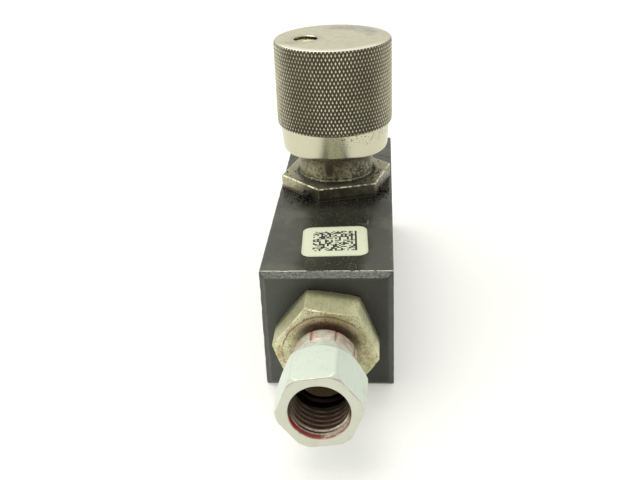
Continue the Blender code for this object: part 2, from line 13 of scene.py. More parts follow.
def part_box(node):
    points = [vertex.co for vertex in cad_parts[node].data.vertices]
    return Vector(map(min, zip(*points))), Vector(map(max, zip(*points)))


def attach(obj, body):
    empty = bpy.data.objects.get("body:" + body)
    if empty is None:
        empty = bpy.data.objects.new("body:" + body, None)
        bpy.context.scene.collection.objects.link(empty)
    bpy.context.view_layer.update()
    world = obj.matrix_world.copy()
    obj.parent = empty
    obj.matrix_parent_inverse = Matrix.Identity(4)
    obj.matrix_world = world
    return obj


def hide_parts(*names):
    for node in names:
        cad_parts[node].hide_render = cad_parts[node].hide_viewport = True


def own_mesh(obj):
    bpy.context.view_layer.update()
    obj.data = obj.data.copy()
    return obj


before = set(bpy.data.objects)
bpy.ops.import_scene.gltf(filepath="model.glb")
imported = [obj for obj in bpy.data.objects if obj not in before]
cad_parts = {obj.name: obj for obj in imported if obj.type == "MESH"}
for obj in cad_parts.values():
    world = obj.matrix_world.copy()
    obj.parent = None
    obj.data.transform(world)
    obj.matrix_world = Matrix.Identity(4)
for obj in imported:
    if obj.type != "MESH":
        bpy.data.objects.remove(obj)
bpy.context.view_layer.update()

# ---------------------------------------------------------------- driving dimensions
MM = 0.001                               # metres in a millimetre
TAU = 2 * math.pi


def box_mm(node):
    low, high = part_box(node)
    return low / MM, high / MM


def middle(low, high):
    return (low.x + high.x) / 2, (low.y + high.y) / 2


body_lo, body_hi = box_mm("valve_body")
knob_lo, knob_hi = box_mm("knob")
sleeve_lo, sleeve_hi = box_mm("bonnet_sleeve")
nut_lo, _ = box_mm("swivel_nut")
label_lo, label_hi = box_mm("asset_label")
lens_lo, lens_hi = box_mm("window_lens")
dial_lo, dial_hi = box_mm("indicator_dial")
spring_lo, spring_hi = box_mm("check_spring")

FRONT, REAR, TOP = body_lo.y, body_hi.y, body_hi.z
HALF = (body_hi.x - body_lo.x) / 2       # half the bar's width
PORT_Z = TOP / 2                         # height of the ports' common axis
KNOB_R, KNOB_TOP, KNOB_BOT = (knob_hi.x - knob_lo.x) / 2, knob_hi.z, knob_lo.z
KNURL_BOT = KNOB_TOP - 18.68
SKIRT_R = 11.79                          # plain skirt under the knurl
WINDOW = middle(lens_lo, lens_hi)
LABEL = middle(label_lo, label_hi)
LABEL_TURN = math.radians(2.5)
BONNET_FLATS = 22.2                      # bonnet hex across its flats
HEX_TOP = TOP + 3.08
HEX_PHASE = math.pi + 0.257              # angle of the bonnet's first corner
DIAL_PHASE = math.pi + 0.12              # angle of the dial's first sector
NECK_R = 8.39
NUT_LEN = FRONT - nut_lo.y               # reach of the nut from the front face
TAPER_PITCH = 25.4 / 18
LOCK_Z = 37.3                            # height of the lock screw in the knob's skirt
KEY_PIN_Y = 6.95                         # the dial's key pins stand at plus and minus this


# ---------------------------------------------------------------- ways to lay a ring
def along_z(radius, angles, z):
    return np.stack([radius * np.cos(angles), radius * np.sin(angles), z + 0 * angles], -1)


def along_front(radius, angles, reach):
    """reach runs forward from the front face; angles go from +X towards +Z."""
    return np.stack([radius * np.cos(angles), FRONT - reach + 0 * angles,
                     PORT_Z + radius * np.sin(angles)], -1)


def along_rear(radius, angles, depth):
    """depth runs into the body from its rear face."""
    return np.stack([-radius * np.cos(angles), REAR - depth + 0 * angles,
                     PORT_Z + radius * np.sin(angles)], -1)


def along_y(height):
    def place_ring(radius, angles, y):
        return np.stack([radius * np.cos(angles), y + 0 * angles,
                         height + radius * np.sin(angles)], -1)
    return place_ring


def along_x(height):
    def place_ring(radius, angles, x):
        return np.stack([x + 0 * angles, radius * np.cos(angles),
                         height + radius * np.sin(angles)], -1)
    return place_ring


# ---------------------------------------------------------------- mesh helpers
def add_object(name, data):
    obj = bpy.data.objects.new(name, data)
    bpy.context.scene.collection.objects.link(obj)
    return obj


def mesh_object(name, verts, faces):
    mesh = bpy.data.meshes.new(name)
    mesh.from_pydata((np.asarray(verts, float) * MM).tolist(), [], faces)
    mesh.validate(clean_customdata=False)
    return add_object(name, mesh)


def mesh_from_bmesh(name, bm):
    mesh = bpy.data.meshes.new(name)
    bm.to_mesh(mesh)
    bm.free()
    return mesh


def smooth(mesh, angle):
    mesh.shade_smooth()
    mesh.set_sharp_from_angle(angle=math.radians(angle))


def set_attr(obj, name, values):
    attribute = obj.data.attributes.get(name) or obj.data.attributes.new(name, "FLOAT", "POINT")
    attribute.data.foreach_set("value", np.asarray(values, np.float32))


def skin(name, rings, closed=True, angle=38, tri=False):
    """A surface over equal rings: closed joins last to first, else fans cap both ends."""
    rings = np.asarray(rings, float)
    count, sides, _ = rings.shape
    verts = rings.reshape(-1, 3)
    i, j = np.meshgrid(np.arange(count if closed else count - 1), np.arange(sides), indexing="ij")
    row, next_row, next_j = i * sides, (i + 1) % count * sides, (j + 1) % sides
    corners = [row + j, row + next_j, next_row + next_j, next_row + j]
    quads = np.stack(corners, -1).reshape(-1, 4)
    tris = np.zeros((0, 3), int)
    if not closed:
        verts = np.vstack([verts, rings[0].mean(0), rings[-1].mean(0)])
        k = np.arange(sides)
        after = (k + 1) % sides
        centre, last = count * sides, (count - 1) * sides
        tris = np.vstack([np.stack([np.full(sides, centre), after, k], -1),
                          np.stack([np.full(sides, centre + 1), last + k, last + after], -1)])

    def volume(faces):
        first, second, third = verts[faces[:, 0]], verts[faces[:, 1]], verts[faces[:, 2]]
        return np.einsum("ij,ij->i", first, np.cross(second, third)).sum()

    # turn the faces outwards: a negative volume means they look in
    if volume(quads[:, [0, 1, 2]]) + volume(quads[:, [0, 2, 3]]) + volume(tris) < 0:
        quads, tris = quads[:, ::-1], tris[:, ::-1]
    if tri:                              # split each quad along its shorter diagonal
        corner = verts[quads]
        across = np.linalg.norm(corner[:, 0] - corner[:, 2], axis=1)
        other = np.linalg.norm(corner[:, 1] - corner[:, 3], axis=1)
        split = (across <= other)[:, None]
        quads = np.vstack([np.where(split, quads[:, [0, 1, 2]], quads[:, [0, 1, 3]]),
                           np.where(split, quads[:, [0, 2, 3]], quads[:, [1, 2, 3]])])
    obj = mesh_object(name, verts, quads.tolist() + tris.tolist())
    smooth(obj.data, angle)
    return obj


def fillet(profile, radius, steps=3, closed=True):
    """Round each corner of a (radius, height) path with a short curve."""
    points = [Vector(point) for point in profile]
    out = []
    count = len(points)
    for k, corner in enumerate(points):
        if not closed and k in (0, count - 1):
            out.append(tuple(corner))
            continue
        back, ahead = points[k - 1] - corner, points[(k + 1) % count] - corner
        if back.length < 1e-6 or ahead.length < 1e-6 or corner.x < 1e-6:
            out.append(tuple(corner))
            continue
        trim = min(radius, 0.42 * back.length, 0.42 * ahead.length)
        start, end = corner + back.normalized() * trim, corner + ahead.normalized() * trim
        for s in range(steps + 1):
            f = s / steps
            out.append(tuple(start * (1 - f) ** 2 + corner * 2 * f * (1 - f) + end * f ** 2))
    return out


def ring_angles(count):
    return np.arange(count) * TAU / count


def turned(name, profile, segs, to=along_z, closed=True, centre=(0, 0), angle=38):
    """Solid of revolution over a (radius, height) profile."""
    rings = []
    for radius, height in profile:
        ring = to(np.full(segs, max(radius, 1e-4)), ring_angles(segs), height)
        ring[:, :2] += centre
        rings.append(ring)
    return skin(name, rings, closed=closed, angle=angle)


def cutter(profile, segs, to=along_z, centre=(0, 0)):
    return turned("cutter", profile, segs, to=to, closed=False, centre=centre)


def drill(radius, low, high, segs, to=along_z, centre=(0, 0)):
    return cutter([(0, low), (radius, low), (radius, high), (0, high)], segs, to, centre)


def cut(obj, cutters):
    """Take the cutters out of obj for good, and remove them."""
    for tool in cutters:
        modifier = obj.modifiers.new("cut", "BOOLEAN")
        modifier.operation, modifier.solver, modifier.object = "DIFFERENCE", "EXACT", tool
    graph = bpy.context.evaluated_depsgraph_get()
    graph.update()
    mesh = bpy.data.meshes.new_from_object(obj.evaluated_get(graph), depsgraph=graph)
    obj.modifiers.clear()
    spent = [obj.data]
    obj.data = mesh
    for tool in cutters:
        spent.append(tool.data)
        bpy.data.objects.remove(tool, do_unlink=True)
    for old in spent:
        bpy.data.meshes.remove(old)
    smooth(mesh, 32)


class Layers:
    """Rings pushed one by one, each with values for the named point attributes."""

    def __init__(self, to, angles, **defaults):
        self.to, self.angles, self.defaults = to, angles, defaults
        self.rings = []
        self.values = {name: [] for name in defaults}

    def push(self, radius, height, **values):
        shape = (len(self.angles),)
        radii = np.broadcast_to(radius, shape).astype(float)
        self.rings.append(self.to(radii, self.angles, float(height)))
        for name, default in self.defaults.items():
            self.values[name].append(np.broadcast_to(values.get(name, default), shape))

    def push_all(self, profile, **values):
        for radius, height in profile:
            self.push(radius, height, **values)

    def build(self, name, closed=True, angle=38, tri=False):
        obj = skin(name, self.rings, closed=closed, angle=angle, tri=tri)
        for attribute, default in self.defaults.items():
            caps = np.full(0 if closed else 2, default)
            set_attr(obj, attribute, np.concatenate(self.values[attribute] + [caps]))
        return obj


def smooth_min(first, second, width):
    h = np.clip(0.5 + 0.5 * (second - first) / width, 0, 1)
    return second * (1 - h) + first * h - width * h * (1 - h)


def smoothstep(start, end, x):
    s = np.clip((x - start) / (end - start), 0, 1)
    return s * s * (3 - 2 * s)


def hex_radius(angles, flats, phase, power=110):
    """Polar radius of a hexagon, first corner at phase; a lower power rounds its corners."""
    total = sum(np.clip(np.cos(angles - phase - math.pi / 6 - k * math.pi / 3), 1e-6, 1) ** power
                for k in range(6))
    return (flats / 2) / total ** (1 / power)


def hex_angles(phase, extra=(), base=120):
    """Ring angles crowded round the six corners and any extra angles."""
    near_corner = (0, .3, .6, .9, 1.3, 1.8, 2.6, 4, 6.5)
    near_extra = (0, .5, 1, 1.5, 2.1, 2.8, 3.6)
    degrees = [math.degrees(phase) + 60 * k + s * d
               for k in range(6) for d in near_corner for s in (-1, 1)]
    degrees += [math.degrees(e) + s * d for e in extra for d in near_extra for s in (-1, 1)]
    degrees += [360 * k / base for k in range(base)]
    degrees = sorted(set(round(d % 360, 2) for d in degrees))
    keep = [degrees[0]]
    for d in degrees[1:]:
        if d - keep[-1] > 0.22:
            keep.append(d)
    return np.radians(np.array(keep))


def wobble(x, y, z, scale, seed):
    return noise.noise(Vector((x * scale + seed, y * scale - seed, z * scale + 0.37 * seed)))


def wobble_round(angles, radius, z, scale, seed):
    return np.array([wobble(math.cos(a) * radius, math.sin(a) * radius, z, scale, seed)
                     for a in angles])


# ---------------------------------------------------------------- shader graph
def operator(operation, swapped=False):
    def method(self, *others):
        values = (self, *others)
        return self.graph.math(operation, *(values[::-1] if swapped else values))
    return method


class Field:
    """A shader output. Arithmetic on it adds Math nodes."""

    def __init__(self, graph, socket):
        self.graph, self.socket = graph, socket

    __add__ = operator("ADD")
    __sub__ = operator("SUBTRACT")
    __rsub__ = operator("SUBTRACT", swapped=True)
    __mul__ = operator("MULTIPLY")
    __truediv__ = operator("DIVIDE")
    __pow__ = operator("POWER")
    __gt__ = operator("GREATER_THAN")
    __lt__ = operator("LESS_THAN")
    __abs__ = operator("ABSOLUTE")
    sqrt = operator("SQRT")
    floor = operator("FLOOR")

    def max(self, other, clamp=False):
        return self.graph.math("MAXIMUM", self, other, clamp=clamp)

    def ramp(self, low, high, at_low=0.0, at_high=1.0):
        """Smooth step from at_low, where the field is low, to at_high, where it is high."""
        inputs = dict(enumerate((self, low, high, at_low, at_high)))
        return self.graph.add("MapRange", inputs, interpolation_type="SMOOTHSTEP", clamp=True)

    def fall(self, low, high):
        return self.ramp(low, high, at_low=1.0, at_high=0.0)

    def band(self, centre, half, soft):
        """1 within half of centre, fading over soft."""
        return abs(self - centre).fall(half, half + soft)

    def wander(self, width):
        """Noise centred on 0 and scaled to width, to make a limit ragged."""
        return (self - 0.5) * width

    def blend(self, off, on):
        """Colour: off where the field is 0, on where it is 1."""
        return self.graph.add("Mix", {0: self, 6: off, 7: on}, 2, data_type="RGBA",
                              blend_type="MIX", clamp_factor=True)

    def lerp(self, off, on):
        """Number: off where the field is 0, on where it is 1."""
        return self.graph.add("Mix", {0: self, 2: off, 3: on}, data_type="FLOAT")


class Graph:
    def __init__(self, tree):
        self.tree = tree

    def put(self, socket, value):
        if isinstance(value, Field):
            self.tree.links.new(value.socket, socket)
        elif isinstance(value, tuple):   # a colour without alpha is made opaque
            socket.default_value = value + (1.0,) * (len(socket.default_value) - len(value))
        else:
            socket.default_value = value

    def add(self, kind, inputs={}, output=0, **settings):
        node = self.tree.nodes.new("ShaderNode" + kind)
        for name, value in settings.items():
            setattr(node, name, value)
        for key, value in inputs.items():
            self.put(node.inputs[key], value)
        return Field(self, node.outputs[output])

    def math(self, operation, *values, clamp=False):
        return self.add("Math", dict(enumerate(values)), operation=operation, use_clamp=clamp)

    def split(self, vector):
        first = self.add("SeparateXYZ", {0: vector})
        return [Field(self, socket) for socket in first.socket.node.outputs]


class Finish(Graph):
    """A Principled material in object space millimetres. colour is what is painted so far."""

    def __init__(self, name):
        self.material = bpy.data.materials.new(name)
        self.material.use_nodes = True
        super().__init__(self.material.node_tree)
        metres = self.add("TexCoord", output="Object")
        self.point = self.vector("SCALE", {0: metres, "Scale": 1000.0})

    def vector(self, operation, inputs, output="Vector"):
        return self.add("VectorMath", inputs, output, operation=operation)

    def axes(self):
        return self.split(self.point)

    def normal_z(self):
        return self.split(self.add("TexCoord", output="Normal"))[2]

    def attribute(self, name):
        return self.add("Attribute", output="Fac", attribute_name=name)

    def noise(self, scale, detail=4.0, rough=0.55, stretch=None, offset=None, distort=0.0):
        point = self.point
        if stretch:
            point = self.vector("MULTIPLY", {0: point, 1: stretch})
        if offset:
            point = self.vector("ADD", {0: point, 1: offset})
        return self.add("TexNoise", {"Vector": point, "Scale": scale, "Detail": detail,
                                     "Roughness": rough, "Distortion": distort}, "Fac")

    def specks(self, scale, low, high, feature="F1", stretch=None):
        """1 nearer than low to a cell's point, or its edge, fading to 0 at high."""
        point = self.point
        if stretch:
            point = self.vector("MULTIPLY", {0: point, 1: stretch})
        cells = self.add("TexVoronoi", {"Vector": point, "Scale": scale}, "Distance",
                         feature=feature)
        return cells.fall(low, high)

    def worn(self, radius, low, high):
        """Worn edges: where a rounded normal leaves the true one. radius in metres."""
        rounded = self.add("Bevel", {"Radius": radius}, samples=4)
        true = self.add("NewGeometry", output="Normal")
        return (1.0 - self.vector("DOT_PRODUCT", {0: rounded, 1: true}, "Value")).ramp(low, high)

    def radius(self, first, second, centre=(0.0, 0.0)):
        """Distance from an axis, given the two coordinates square to it."""
        along, across = first - centre[0], second - centre[1]
        return (along * along + across * across).sqrt()

    def bump(self, height, distance, strength):
        """distance in metres."""
        return self.add("Bump", {"Strength": strength, "Distance": distance, "Height": height})

    def paint(self, mask, rgb, opacity=None):
        if opacity is not None:
            mask = mask * opacity
        self.colour = mask.blend(off=self.colour, on=rgb)

    def finish(self, **inputs):
        shader = self.tree.nodes["Principled BSDF"]
        self.put(shader.inputs["Base Color"], self.colour)
        for name, value in inputs.items():
            self.put(shader.inputs[name.replace("_", " ")], value)
        return self.material


def scaled(rgb, factor):
    return tuple(min(1.0, factor * c) for c in rgb)


# ---------------------------------------------------------------- materials
def make_body_material():
    mat = Finish("black_finish")
    x, y, z = mat.axes()
    fine = mat.noise(scale=2.2, detail=5, rough=0.6)
    brushed = mat.noise(scale=0.9, rough=0.6, stretch=(1.0, 0.06, 3.0))
    facing = mat.normal_z()
    top = facing.ramp(low=0.8, high=0.95)
    broad = mat.noise(scale=0.07, detail=3, rough=0.5)
    mat.colour = broad.blend(off=(0.034, 0.036, 0.028), on=(0.056, 0.059, 0.046))
    mat.paint(fine.ramp(low=0.5, high=0.75), opacity=0.35, rgb=(0.095, 0.098, 0.080))
    mat.paint(brushed.ramp(low=0.52, high=0.75), opacity=0.30, rgb=(0.085, 0.088, 0.072))
    dust = mat.noise(scale=0.16, rough=0.6, offset=(7, 3, 1)).ramp(low=0.45, high=0.7) * top
    mat.paint(dust, opacity=0.28, rgb=(0.16, 0.165, 0.135))
    # darker and glossier on the top: round the bonnet a painted shadow of the knob, down the middle
    # a painted dark reflection, both with an oily gloss
    rad = mat.radius(x, y)
    ragged = mat.noise(scale=0.35, rough=0.6).wander(5.0)
    # painted shadow of the knob, fading out from the bonnet
    near_hex = (rad + ragged).fall(low=14.0, high=20.5)
    across = x - (y + 14.0) * 0.03 + mat.noise(scale=0.16).wander(7.0)
    # painted dark reflection in a band down the middle of the top
    film = (across - 1.6).band(centre=0.0, half=4.6, soft=3.6) * y.ramp(low=-6.0, high=-10.0)
    oil_shadow_and_reflection = near_hex.max(film * 0.85) * top
    mat.paint(oil_shadow_and_reflection, opacity=0.86, rgb=(0.0085, 0.0085, 0.0055))
    # a line of dried grime behind the bonnet
    line = (rad + mat.noise(scale=0.5, detail=3).wander(0.8)).band(centre=19.6, half=0.12, soft=0.45)
    breaks = mat.noise(scale=1.6, detail=3).ramp(low=0.36, high=0.5)
    mat.paint(line * top * y.ramp(low=2.0, high=6.0) * breaks, opacity=0.85,
              rgb=(0.012, 0.010, 0.006))
    # scratches: thin edges of stretched cells
    cracks = mat.specks(scale=0.16, low=0.0, high=0.006, feature="DISTANCE_TO_EDGE",
                        stretch=(1.0, 0.35, 1.3))
    scratch = cracks * mat.noise(scale=0.4, detail=3, offset=(2, 9, 4)).ramp(low=0.54, high=0.6)
    mat.paint(scratch, opacity=0.5, rgb=(0.24, 0.24, 0.20))
    # dust specks, black crumbs round the bonnet hex, and glints in the oil
    patches = mat.noise(scale=0.25, detail=2, offset=(5, 5, 5)).ramp(low=0.5, high=0.6)
    mat.paint(mat.specks(scale=0.95, low=0.04, high=0.08) * patches, opacity=0.5,
              rgb=(0.30, 0.27, 0.19))
    around = (rad + ragged * 0.6).fall(low=14.5, high=18.5)
    mat.paint(mat.specks(scale=2.1, low=0.16, high=0.26) * around * top, opacity=0.8,
              rgb=(0.004, 0.004, 0.003))
    patches = mat.noise(scale=0.5, rough=0.65, offset=(0, 4, 8)).ramp(low=0.42, high=0.58)
    mat.paint(mat.specks(scale=1.9, low=0.14, high=0.22) * (oil_shadow_and_reflection * patches), opacity=0.70,
              rgb=(0.33, 0.33, 0.24))
    # front face: oil round the adapter darkened as painted shade, paler to the left and darker to
    # the right
    port_rad = mat.radius(x, z, centre=(0.0, PORT_Z))
    near_port = (port_rad + mat.noise(scale=0.4).wander(4.0)).fall(low=9.0, high=13.5)
    mat.paint(y.ramp(low=FRONT + 0.4, high=FRONT + 0.1) * near_port, opacity=0.55,
              rgb=(0.010, 0.010, 0.007))
    front = y.ramp(low=FRONT + 0.4, high=FRONT + 0.1)
    mat.paint(front * x.ramp(low=-3.0, high=-11.0, at_high=0.22), rgb=(0.17, 0.175, 0.14))
    mat.paint(front * x.ramp(low=2.0, high=10.0, at_high=0.45), rgb=(0.014, 0.014, 0.010))
    # bare metal on the edges
    patches = mat.noise(scale=1.1, detail=5, rough=0.65).ramp(low=0.40, high=0.58)
    edge = mat.worn(radius=0.00045, low=0.012, high=0.10) * patches
    patches = mat.noise(scale=0.8, detail=5, rough=0.7, offset=(1, 8, 2)).ramp(low=0.56, high=0.62)
    chips = mat.worn(radius=0.0013, low=0.02, high=0.22) * patches
    bare = (edge * 0.75).max(chips * 0.8, clamp=True)
    # the front top chamfer: rubbed pale, with gouges across it
    corner = z.ramp(low=TOP - 1.12, high=TOP - 0.98) * y.ramp(low=FRONT + 1.12, high=FRONT + 0.98)
    chamfer = corner * (facing.ramp(low=0.45, high=0.6) * facing.ramp(low=0.96, high=0.85))
    rub = mat.noise(scale=2.0, detail=5, rough=0.75, stretch=(0.9, 1.6, 1.6), offset=(3, 3, 3))
    rub = rub.ramp(low=0.40, high=0.58, at_low=0.10)
    gouge = mat.noise(scale=2.4, detail=5, rough=0.8, stretch=(1.0, 2.2, 2.2), offset=(8, 1, 1))
    gouge = gouge.ramp(low=0.56, high=0.63)
    mat.paint(bare, rgb=(0.34, 0.34, 0.29))
    mat.paint(chamfer * rub, opacity=0.62, rgb=(0.25, 0.265, 0.225))
    mat.paint(chamfer * gouge, opacity=0.85, rgb=(0.54, 0.56, 0.49))
    # bright crest where the chamfer meets the top
    crest = y.band(centre=FRONT + 1.14, half=0.07, soft=0.06)
    crest = crest * z.ramp(low=TOP - 0.3, high=TOP - 0.2) * facing.ramp(low=0.3, high=0.5)
    patches = mat.noise(scale=0.45, rough=0.7, offset=(9, 9, 9)).ramp(low=0.46, high=0.54)
    mat.paint(crest * patches, opacity=0.9, rgb=(0.85, 0.85, 0.76))
    rough = oil_shadow_and_reflection.lerp(off=fine.lerp(off=0.40, on=0.55), on=0.22)
    relief = fine * 0.6 + brushed * 0.5
    relief = relief - (scratch * 0.8 + chamfer * gouge * 2.0)
    return mat.finish(
        Roughness=bare.max(chamfer * rub, clamp=True).lerp(off=rough, on=0.40),
        Metallic=(bare * 0.9).max(chamfer * gouge * 0.7, clamp=True),
        Normal=mat.bump(relief, distance=0.00003, strength=0.7),
        Specular_IOR_Level=0.5)


def make_knob_material():
    mat = Finish("knurled_aluminium")
    x, y, z = mat.axes()
    lift = mat.attribute("lift")         # 0 in a knurl groove, 1 on a crest or a plain face
    rad = mat.radius(x, y)
    angle = mat.math("ARCTAN2", y, x)
    cloud = mat.noise(scale=0.22)
    fine = mat.noise(scale=3.5, rough=0.6)
    mat.colour = cloud.blend(off=(0.63, 0.605, 0.455), on=(0.67, 0.65, 0.50))
    mat.paint(fine.ramp(low=0.5, high=0.8), opacity=0.06, rgb=(0.42, 0.39, 0.27))
    # oily grime packed into the grooves, thinner at the crests, and thinned on the two sides as a
    # painted sheen
    patch = mat.noise(scale=0.9, rough=0.65).wander(0.55) + mat.noise(scale=0.12,
                                                                      detail=3).wander(0.35)
    patch = patch * lift.ramp(low=1.0, high=0.86)
    grime_and_side_sheen = (lift + patch).fall(low=0.34, high=0.94)
    # painted sheen: less grime towards the two sides, so they read lighter
    grime_and_side_sheen = grime_and_side_sheen * abs(x).ramp(low=8.0, high=12.4, at_low=1.0, at_high=0.72)
    dirt = mat.noise(scale=0.7, offset=(4, 4, 4)).blend(off=(0.034, 0.027, 0.012),
                                                        on=(0.085, 0.070, 0.036))
    mat.paint(grime_and_side_sheen, opacity=0.95, rgb=dirt)
    # top face: a darker bow at the rear right, stains round the window and at the front left
    up = mat.normal_z().ramp(low=0.8, high=0.95)
    bow = rad.band(centre=9.2, half=1.1, soft=1.6) * angle.band(centre=0.95, half=0.55, soft=0.5)
    mat.paint(bow * up * mat.noise(scale=0.5).ramp(low=0.30, high=0.55), opacity=0.55,
              rgb=(0.30, 0.28, 0.29))
    window_rad = mat.radius(x, y, centre=(-5.75, -0.7))
    halo = (window_rad + mat.noise(scale=0.9).wander(3.0)).fall(low=2.7, high=4.6) * up
    mat.paint(halo, opacity=0.42, rgb=(0.26, 0.24, 0.17))
    left = (x - y * 0.3).band(centre=-7.5, half=1.4, soft=3.0)
    left = left * y.band(centre=-4.4, half=0.7, soft=1.2) * up
    patches = mat.noise(scale=0.6, offset=(6, 6, 0)).ramp(low=0.40, high=0.55)
    mat.paint(left * patches, opacity=0.45, rgb=(0.30, 0.28, 0.24))
    # dirt and painted shade in the window's recess
    pit = window_rad.ramp(low=2.80, high=2.72) * z.ramp(low=KNOB_TOP - 0.06, high=KNOB_TOP - 0.16)
    mat.paint(pit * mat.noise(scale=1.6).ramp(low=0.36, high=0.46, at_low=0.45), opacity=0.92,
              rgb=(0.030, 0.026, 0.016))
    # drawn out dull and pale wear on the top, then dots and blots
    dull = mat.noise(scale=1.3, detail=5, rough=0.7, stretch=(0.5, 1.3, 1.0), offset=(4, 1, 0))
    mat.paint(dull.ramp(low=0.44, high=0.62) * up, opacity=0.48, rgb=(0.44, 0.43, 0.34))
    pale = mat.noise(scale=1.8, detail=5, rough=0.7, stretch=(0.4, 1.5, 1.0), offset=(7, 5, 0))
    mat.paint(pale.ramp(low=0.50, high=0.66) * up, opacity=0.45, rgb=(0.82, 0.81, 0.66))
    patches = mat.noise(scale=0.45, detail=3, offset=(3, 3, 0)).ramp(low=0.46, high=0.56)
    mat.paint(mat.specks(scale=2.0, low=0.10, high=0.16) * up * patches, opacity=0.70,
              rgb=(0.16, 0.15, 0.10))
    strip = up * (y - x * 0.4).band(centre=7.5, half=2.6, soft=1.5)
    blots = mat.specks(scale=1.1, low=0.10, high=0.20) * strip
    mat.paint(blots * x.band(centre=1.2, half=2.6, soft=1.2), opacity=0.8, rgb=(0.06, 0.05, 0.03))
    spots = mat.specks(scale=0.8, low=0.05, high=0.10) * mat.noise(
        scale=0.3, detail=2).ramp(low=0.46, high=0.6)
    mat.paint(spots * 0.5 * (1.0 - grime_and_side_sheen), rgb=(0.20, 0.18, 0.12))
    # oily freckles on the skirt, thick under the knurl at the front right
    skirt = z.ramp(low=KNURL_BOT + 0.4, high=KNURL_BOT - 0.1)
    height = z + mat.noise(scale=0.35, detail=3).wander(5.0)
    where = angle.band(centre=-0.80, half=0.50, soft=0.45) * height.ramp(
        low=KNURL_BOT - 3.0, high=KNURL_BOT - 0.8)
    mat.paint(mat.specks(scale=1.7, low=0.27, high=0.33) * where * skirt, opacity=0.85,
              rgb=(0.030, 0.025, 0.013))
    edge = mat.worn(radius=0.00030, low=0.03, high=0.2) * lift.ramp(low=0.9, high=1.0)
    mat.paint(edge, opacity=0.35, rgb=(0.85, 0.84, 0.74))
    mat.paint(skirt * (1.0 - up), opacity=0.36, rgb=(0.40, 0.385, 0.275))
    # a film of oil low on the skirt
    low_down = (z + mat.noise(scale=0.6, detail=3).wander(0.5)).fall(
        low=KNOB_BOT - 0.2, high=KNOB_BOT + 0.7)
    mat.paint(low_down, opacity=0.25, rgb=(0.34, 0.31, 0.19))
    # painted highlight on the front of the top's rim
    rim = up * rad.ramp(low=KNOB_R - 2.6, high=KNOB_R - 0.9) * y.ramp(low=-3.0, high=-9.0)
    mat.paint(rim, opacity=0.80, rgb=(0.90, 0.90, 0.77))
    # turning rings on the top, fine lines round the side
    turning = mat.math("SINE", (rad + cloud.wander(0.05)) * 26.0)
    hair = mat.noise(scale=1.0, rough=0.6, stretch=(0.15, 0.15, 9.0))
    rough = grime_and_side_sheen.lerp(off=cloud.lerp(off=0.22, on=0.30), on=0.55)
    return mat.finish(
        Roughness=up.lerp(off=rough, on=0.40),
        Metallic=grime_and_side_sheen.lerp(off=1.0, on=0.2),
        Normal=mat.bump(turning * up * 0.35 + hair * 0.8, distance=0.000015, strength=0.5))


def bonnet_flat(mat, x, y, index):
    """1 on the bonnet hex flat between corners index and index + 1."""
    centre = HEX_PHASE + (index + 0.5) * math.pi / 3
    angle = mat.math("ARCTAN2", y, x)
    away = abs(mat.math("WRAP", angle - centre, math.pi, -math.pi))
    return away.fall(low=math.pi / 6 - 0.02, high=math.pi / 6 + 0.02)


def make_bonnet_material():
    mat = Finish("stained_bonnet_steel")
    x, y, z = mat.axes()
    cloud = mat.noise(scale=0.45, detail=5, rough=0.62, distort=0.6)
    fine = mat.noise(scale=1.7, detail=5, rough=0.65, offset=(3, 1, 6))
    up = mat.normal_z().ramp(low=0.8, high=0.95)
    side = 1.0 - up
    mat.colour = cloud.blend(off=(0.50, 0.48, 0.33), on=(0.34, 0.32, 0.20))
    mat.paint(fine.ramp(low=0.50, high=0.66), opacity=0.55, rgb=(0.17, 0.155, 0.085))
    rad = mat.radius(x, y)
    # oily olive on the top in front of the neck, and a dark ring round the neck
    wet = (y + cloud.wander(5.0)).ramp(low=-5.0, high=-9.5) * up
    mat.paint(wet, opacity=0.80, rgb=(0.075, 0.072, 0.034))
    ring = (rad + cloud.wander(1.6)).fall(low=8.9, high=9.8) * up
    mat.paint(ring, opacity=0.80, rgb=(0.045, 0.038, 0.020))
    # the three flats towards the front painted darker: the front one nearly all over, the right one
    # in patches, the left one towards its front corner
    front, right, left = (bonnet_flat(mat, x, y, index) * side for index in (1, 2, 0))
    mat.paint(front * cloud.ramp(low=0.30, high=0.60, at_low=0.78, at_high=0.95),
              rgb=(0.042, 0.038, 0.022))
    mat.paint(right * fine.ramp(low=0.38, high=0.60, at_low=0.25, at_high=0.88),
              rgb=(0.055, 0.050, 0.032))
    toward = (x + fine.wander(5.0)).ramp(low=-9.5, high=-4.5)
    mat.paint(left * (toward * 0.85), rgb=(0.055, 0.048, 0.028))
    foot = (z + fine.wander(1.6)).fall(low=TOP + 0.45, high=TOP + 1.15) * side
    mat.paint(foot, opacity=0.8, rgb=(0.028, 0.024, 0.014))
    patches = mat.noise(scale=0.30, detail=3, offset=(2, 3, 4)).ramp(low=0.40, high=0.52)
    mat.paint(mat.specks(scale=2.6, low=0.17, high=0.27) * patches, opacity=0.88,
              rgb=(0.014, 0.012, 0.007))
    # worn bright edges, and a painted highlight along the top rim
    edge = mat.worn(radius=0.00022, low=0.02, high=0.12) * (
        fine.ramp(low=0.34, high=0.50, at_low=0.35) * 0.45)
    # painted highlight along the top rim, broken into dashes
    patches = mat.noise(scale=0.9, detail=5, rough=0.7, offset=(8, 8, 1))
    line = mat.attribute("rim") * patches.ramp(low=0.42, high=0.54, at_low=0.10, at_high=0.9)
    edge = edge.max(line, clamp=True)
    mat.paint(edge, opacity=0.95, rgb=(0.92, 0.90, 0.76))
    grimy = ring.max(wet * 0.7).max((front * 0.8).max(foot), clamp=True)
    grimy = grimy * (1.0 - edge * 0.9)
    relief = fine * 1.0 + grimy * mat.noise(scale=3.0)
    return mat.finish(
        Roughness=grimy.lerp(off=cloud.lerp(off=0.34, on=0.50), on=0.36),
        Metallic=grimy.lerp(off=0.85, on=0.30),
        Normal=mat.bump(relief, distance=0.00004, strength=0.6))


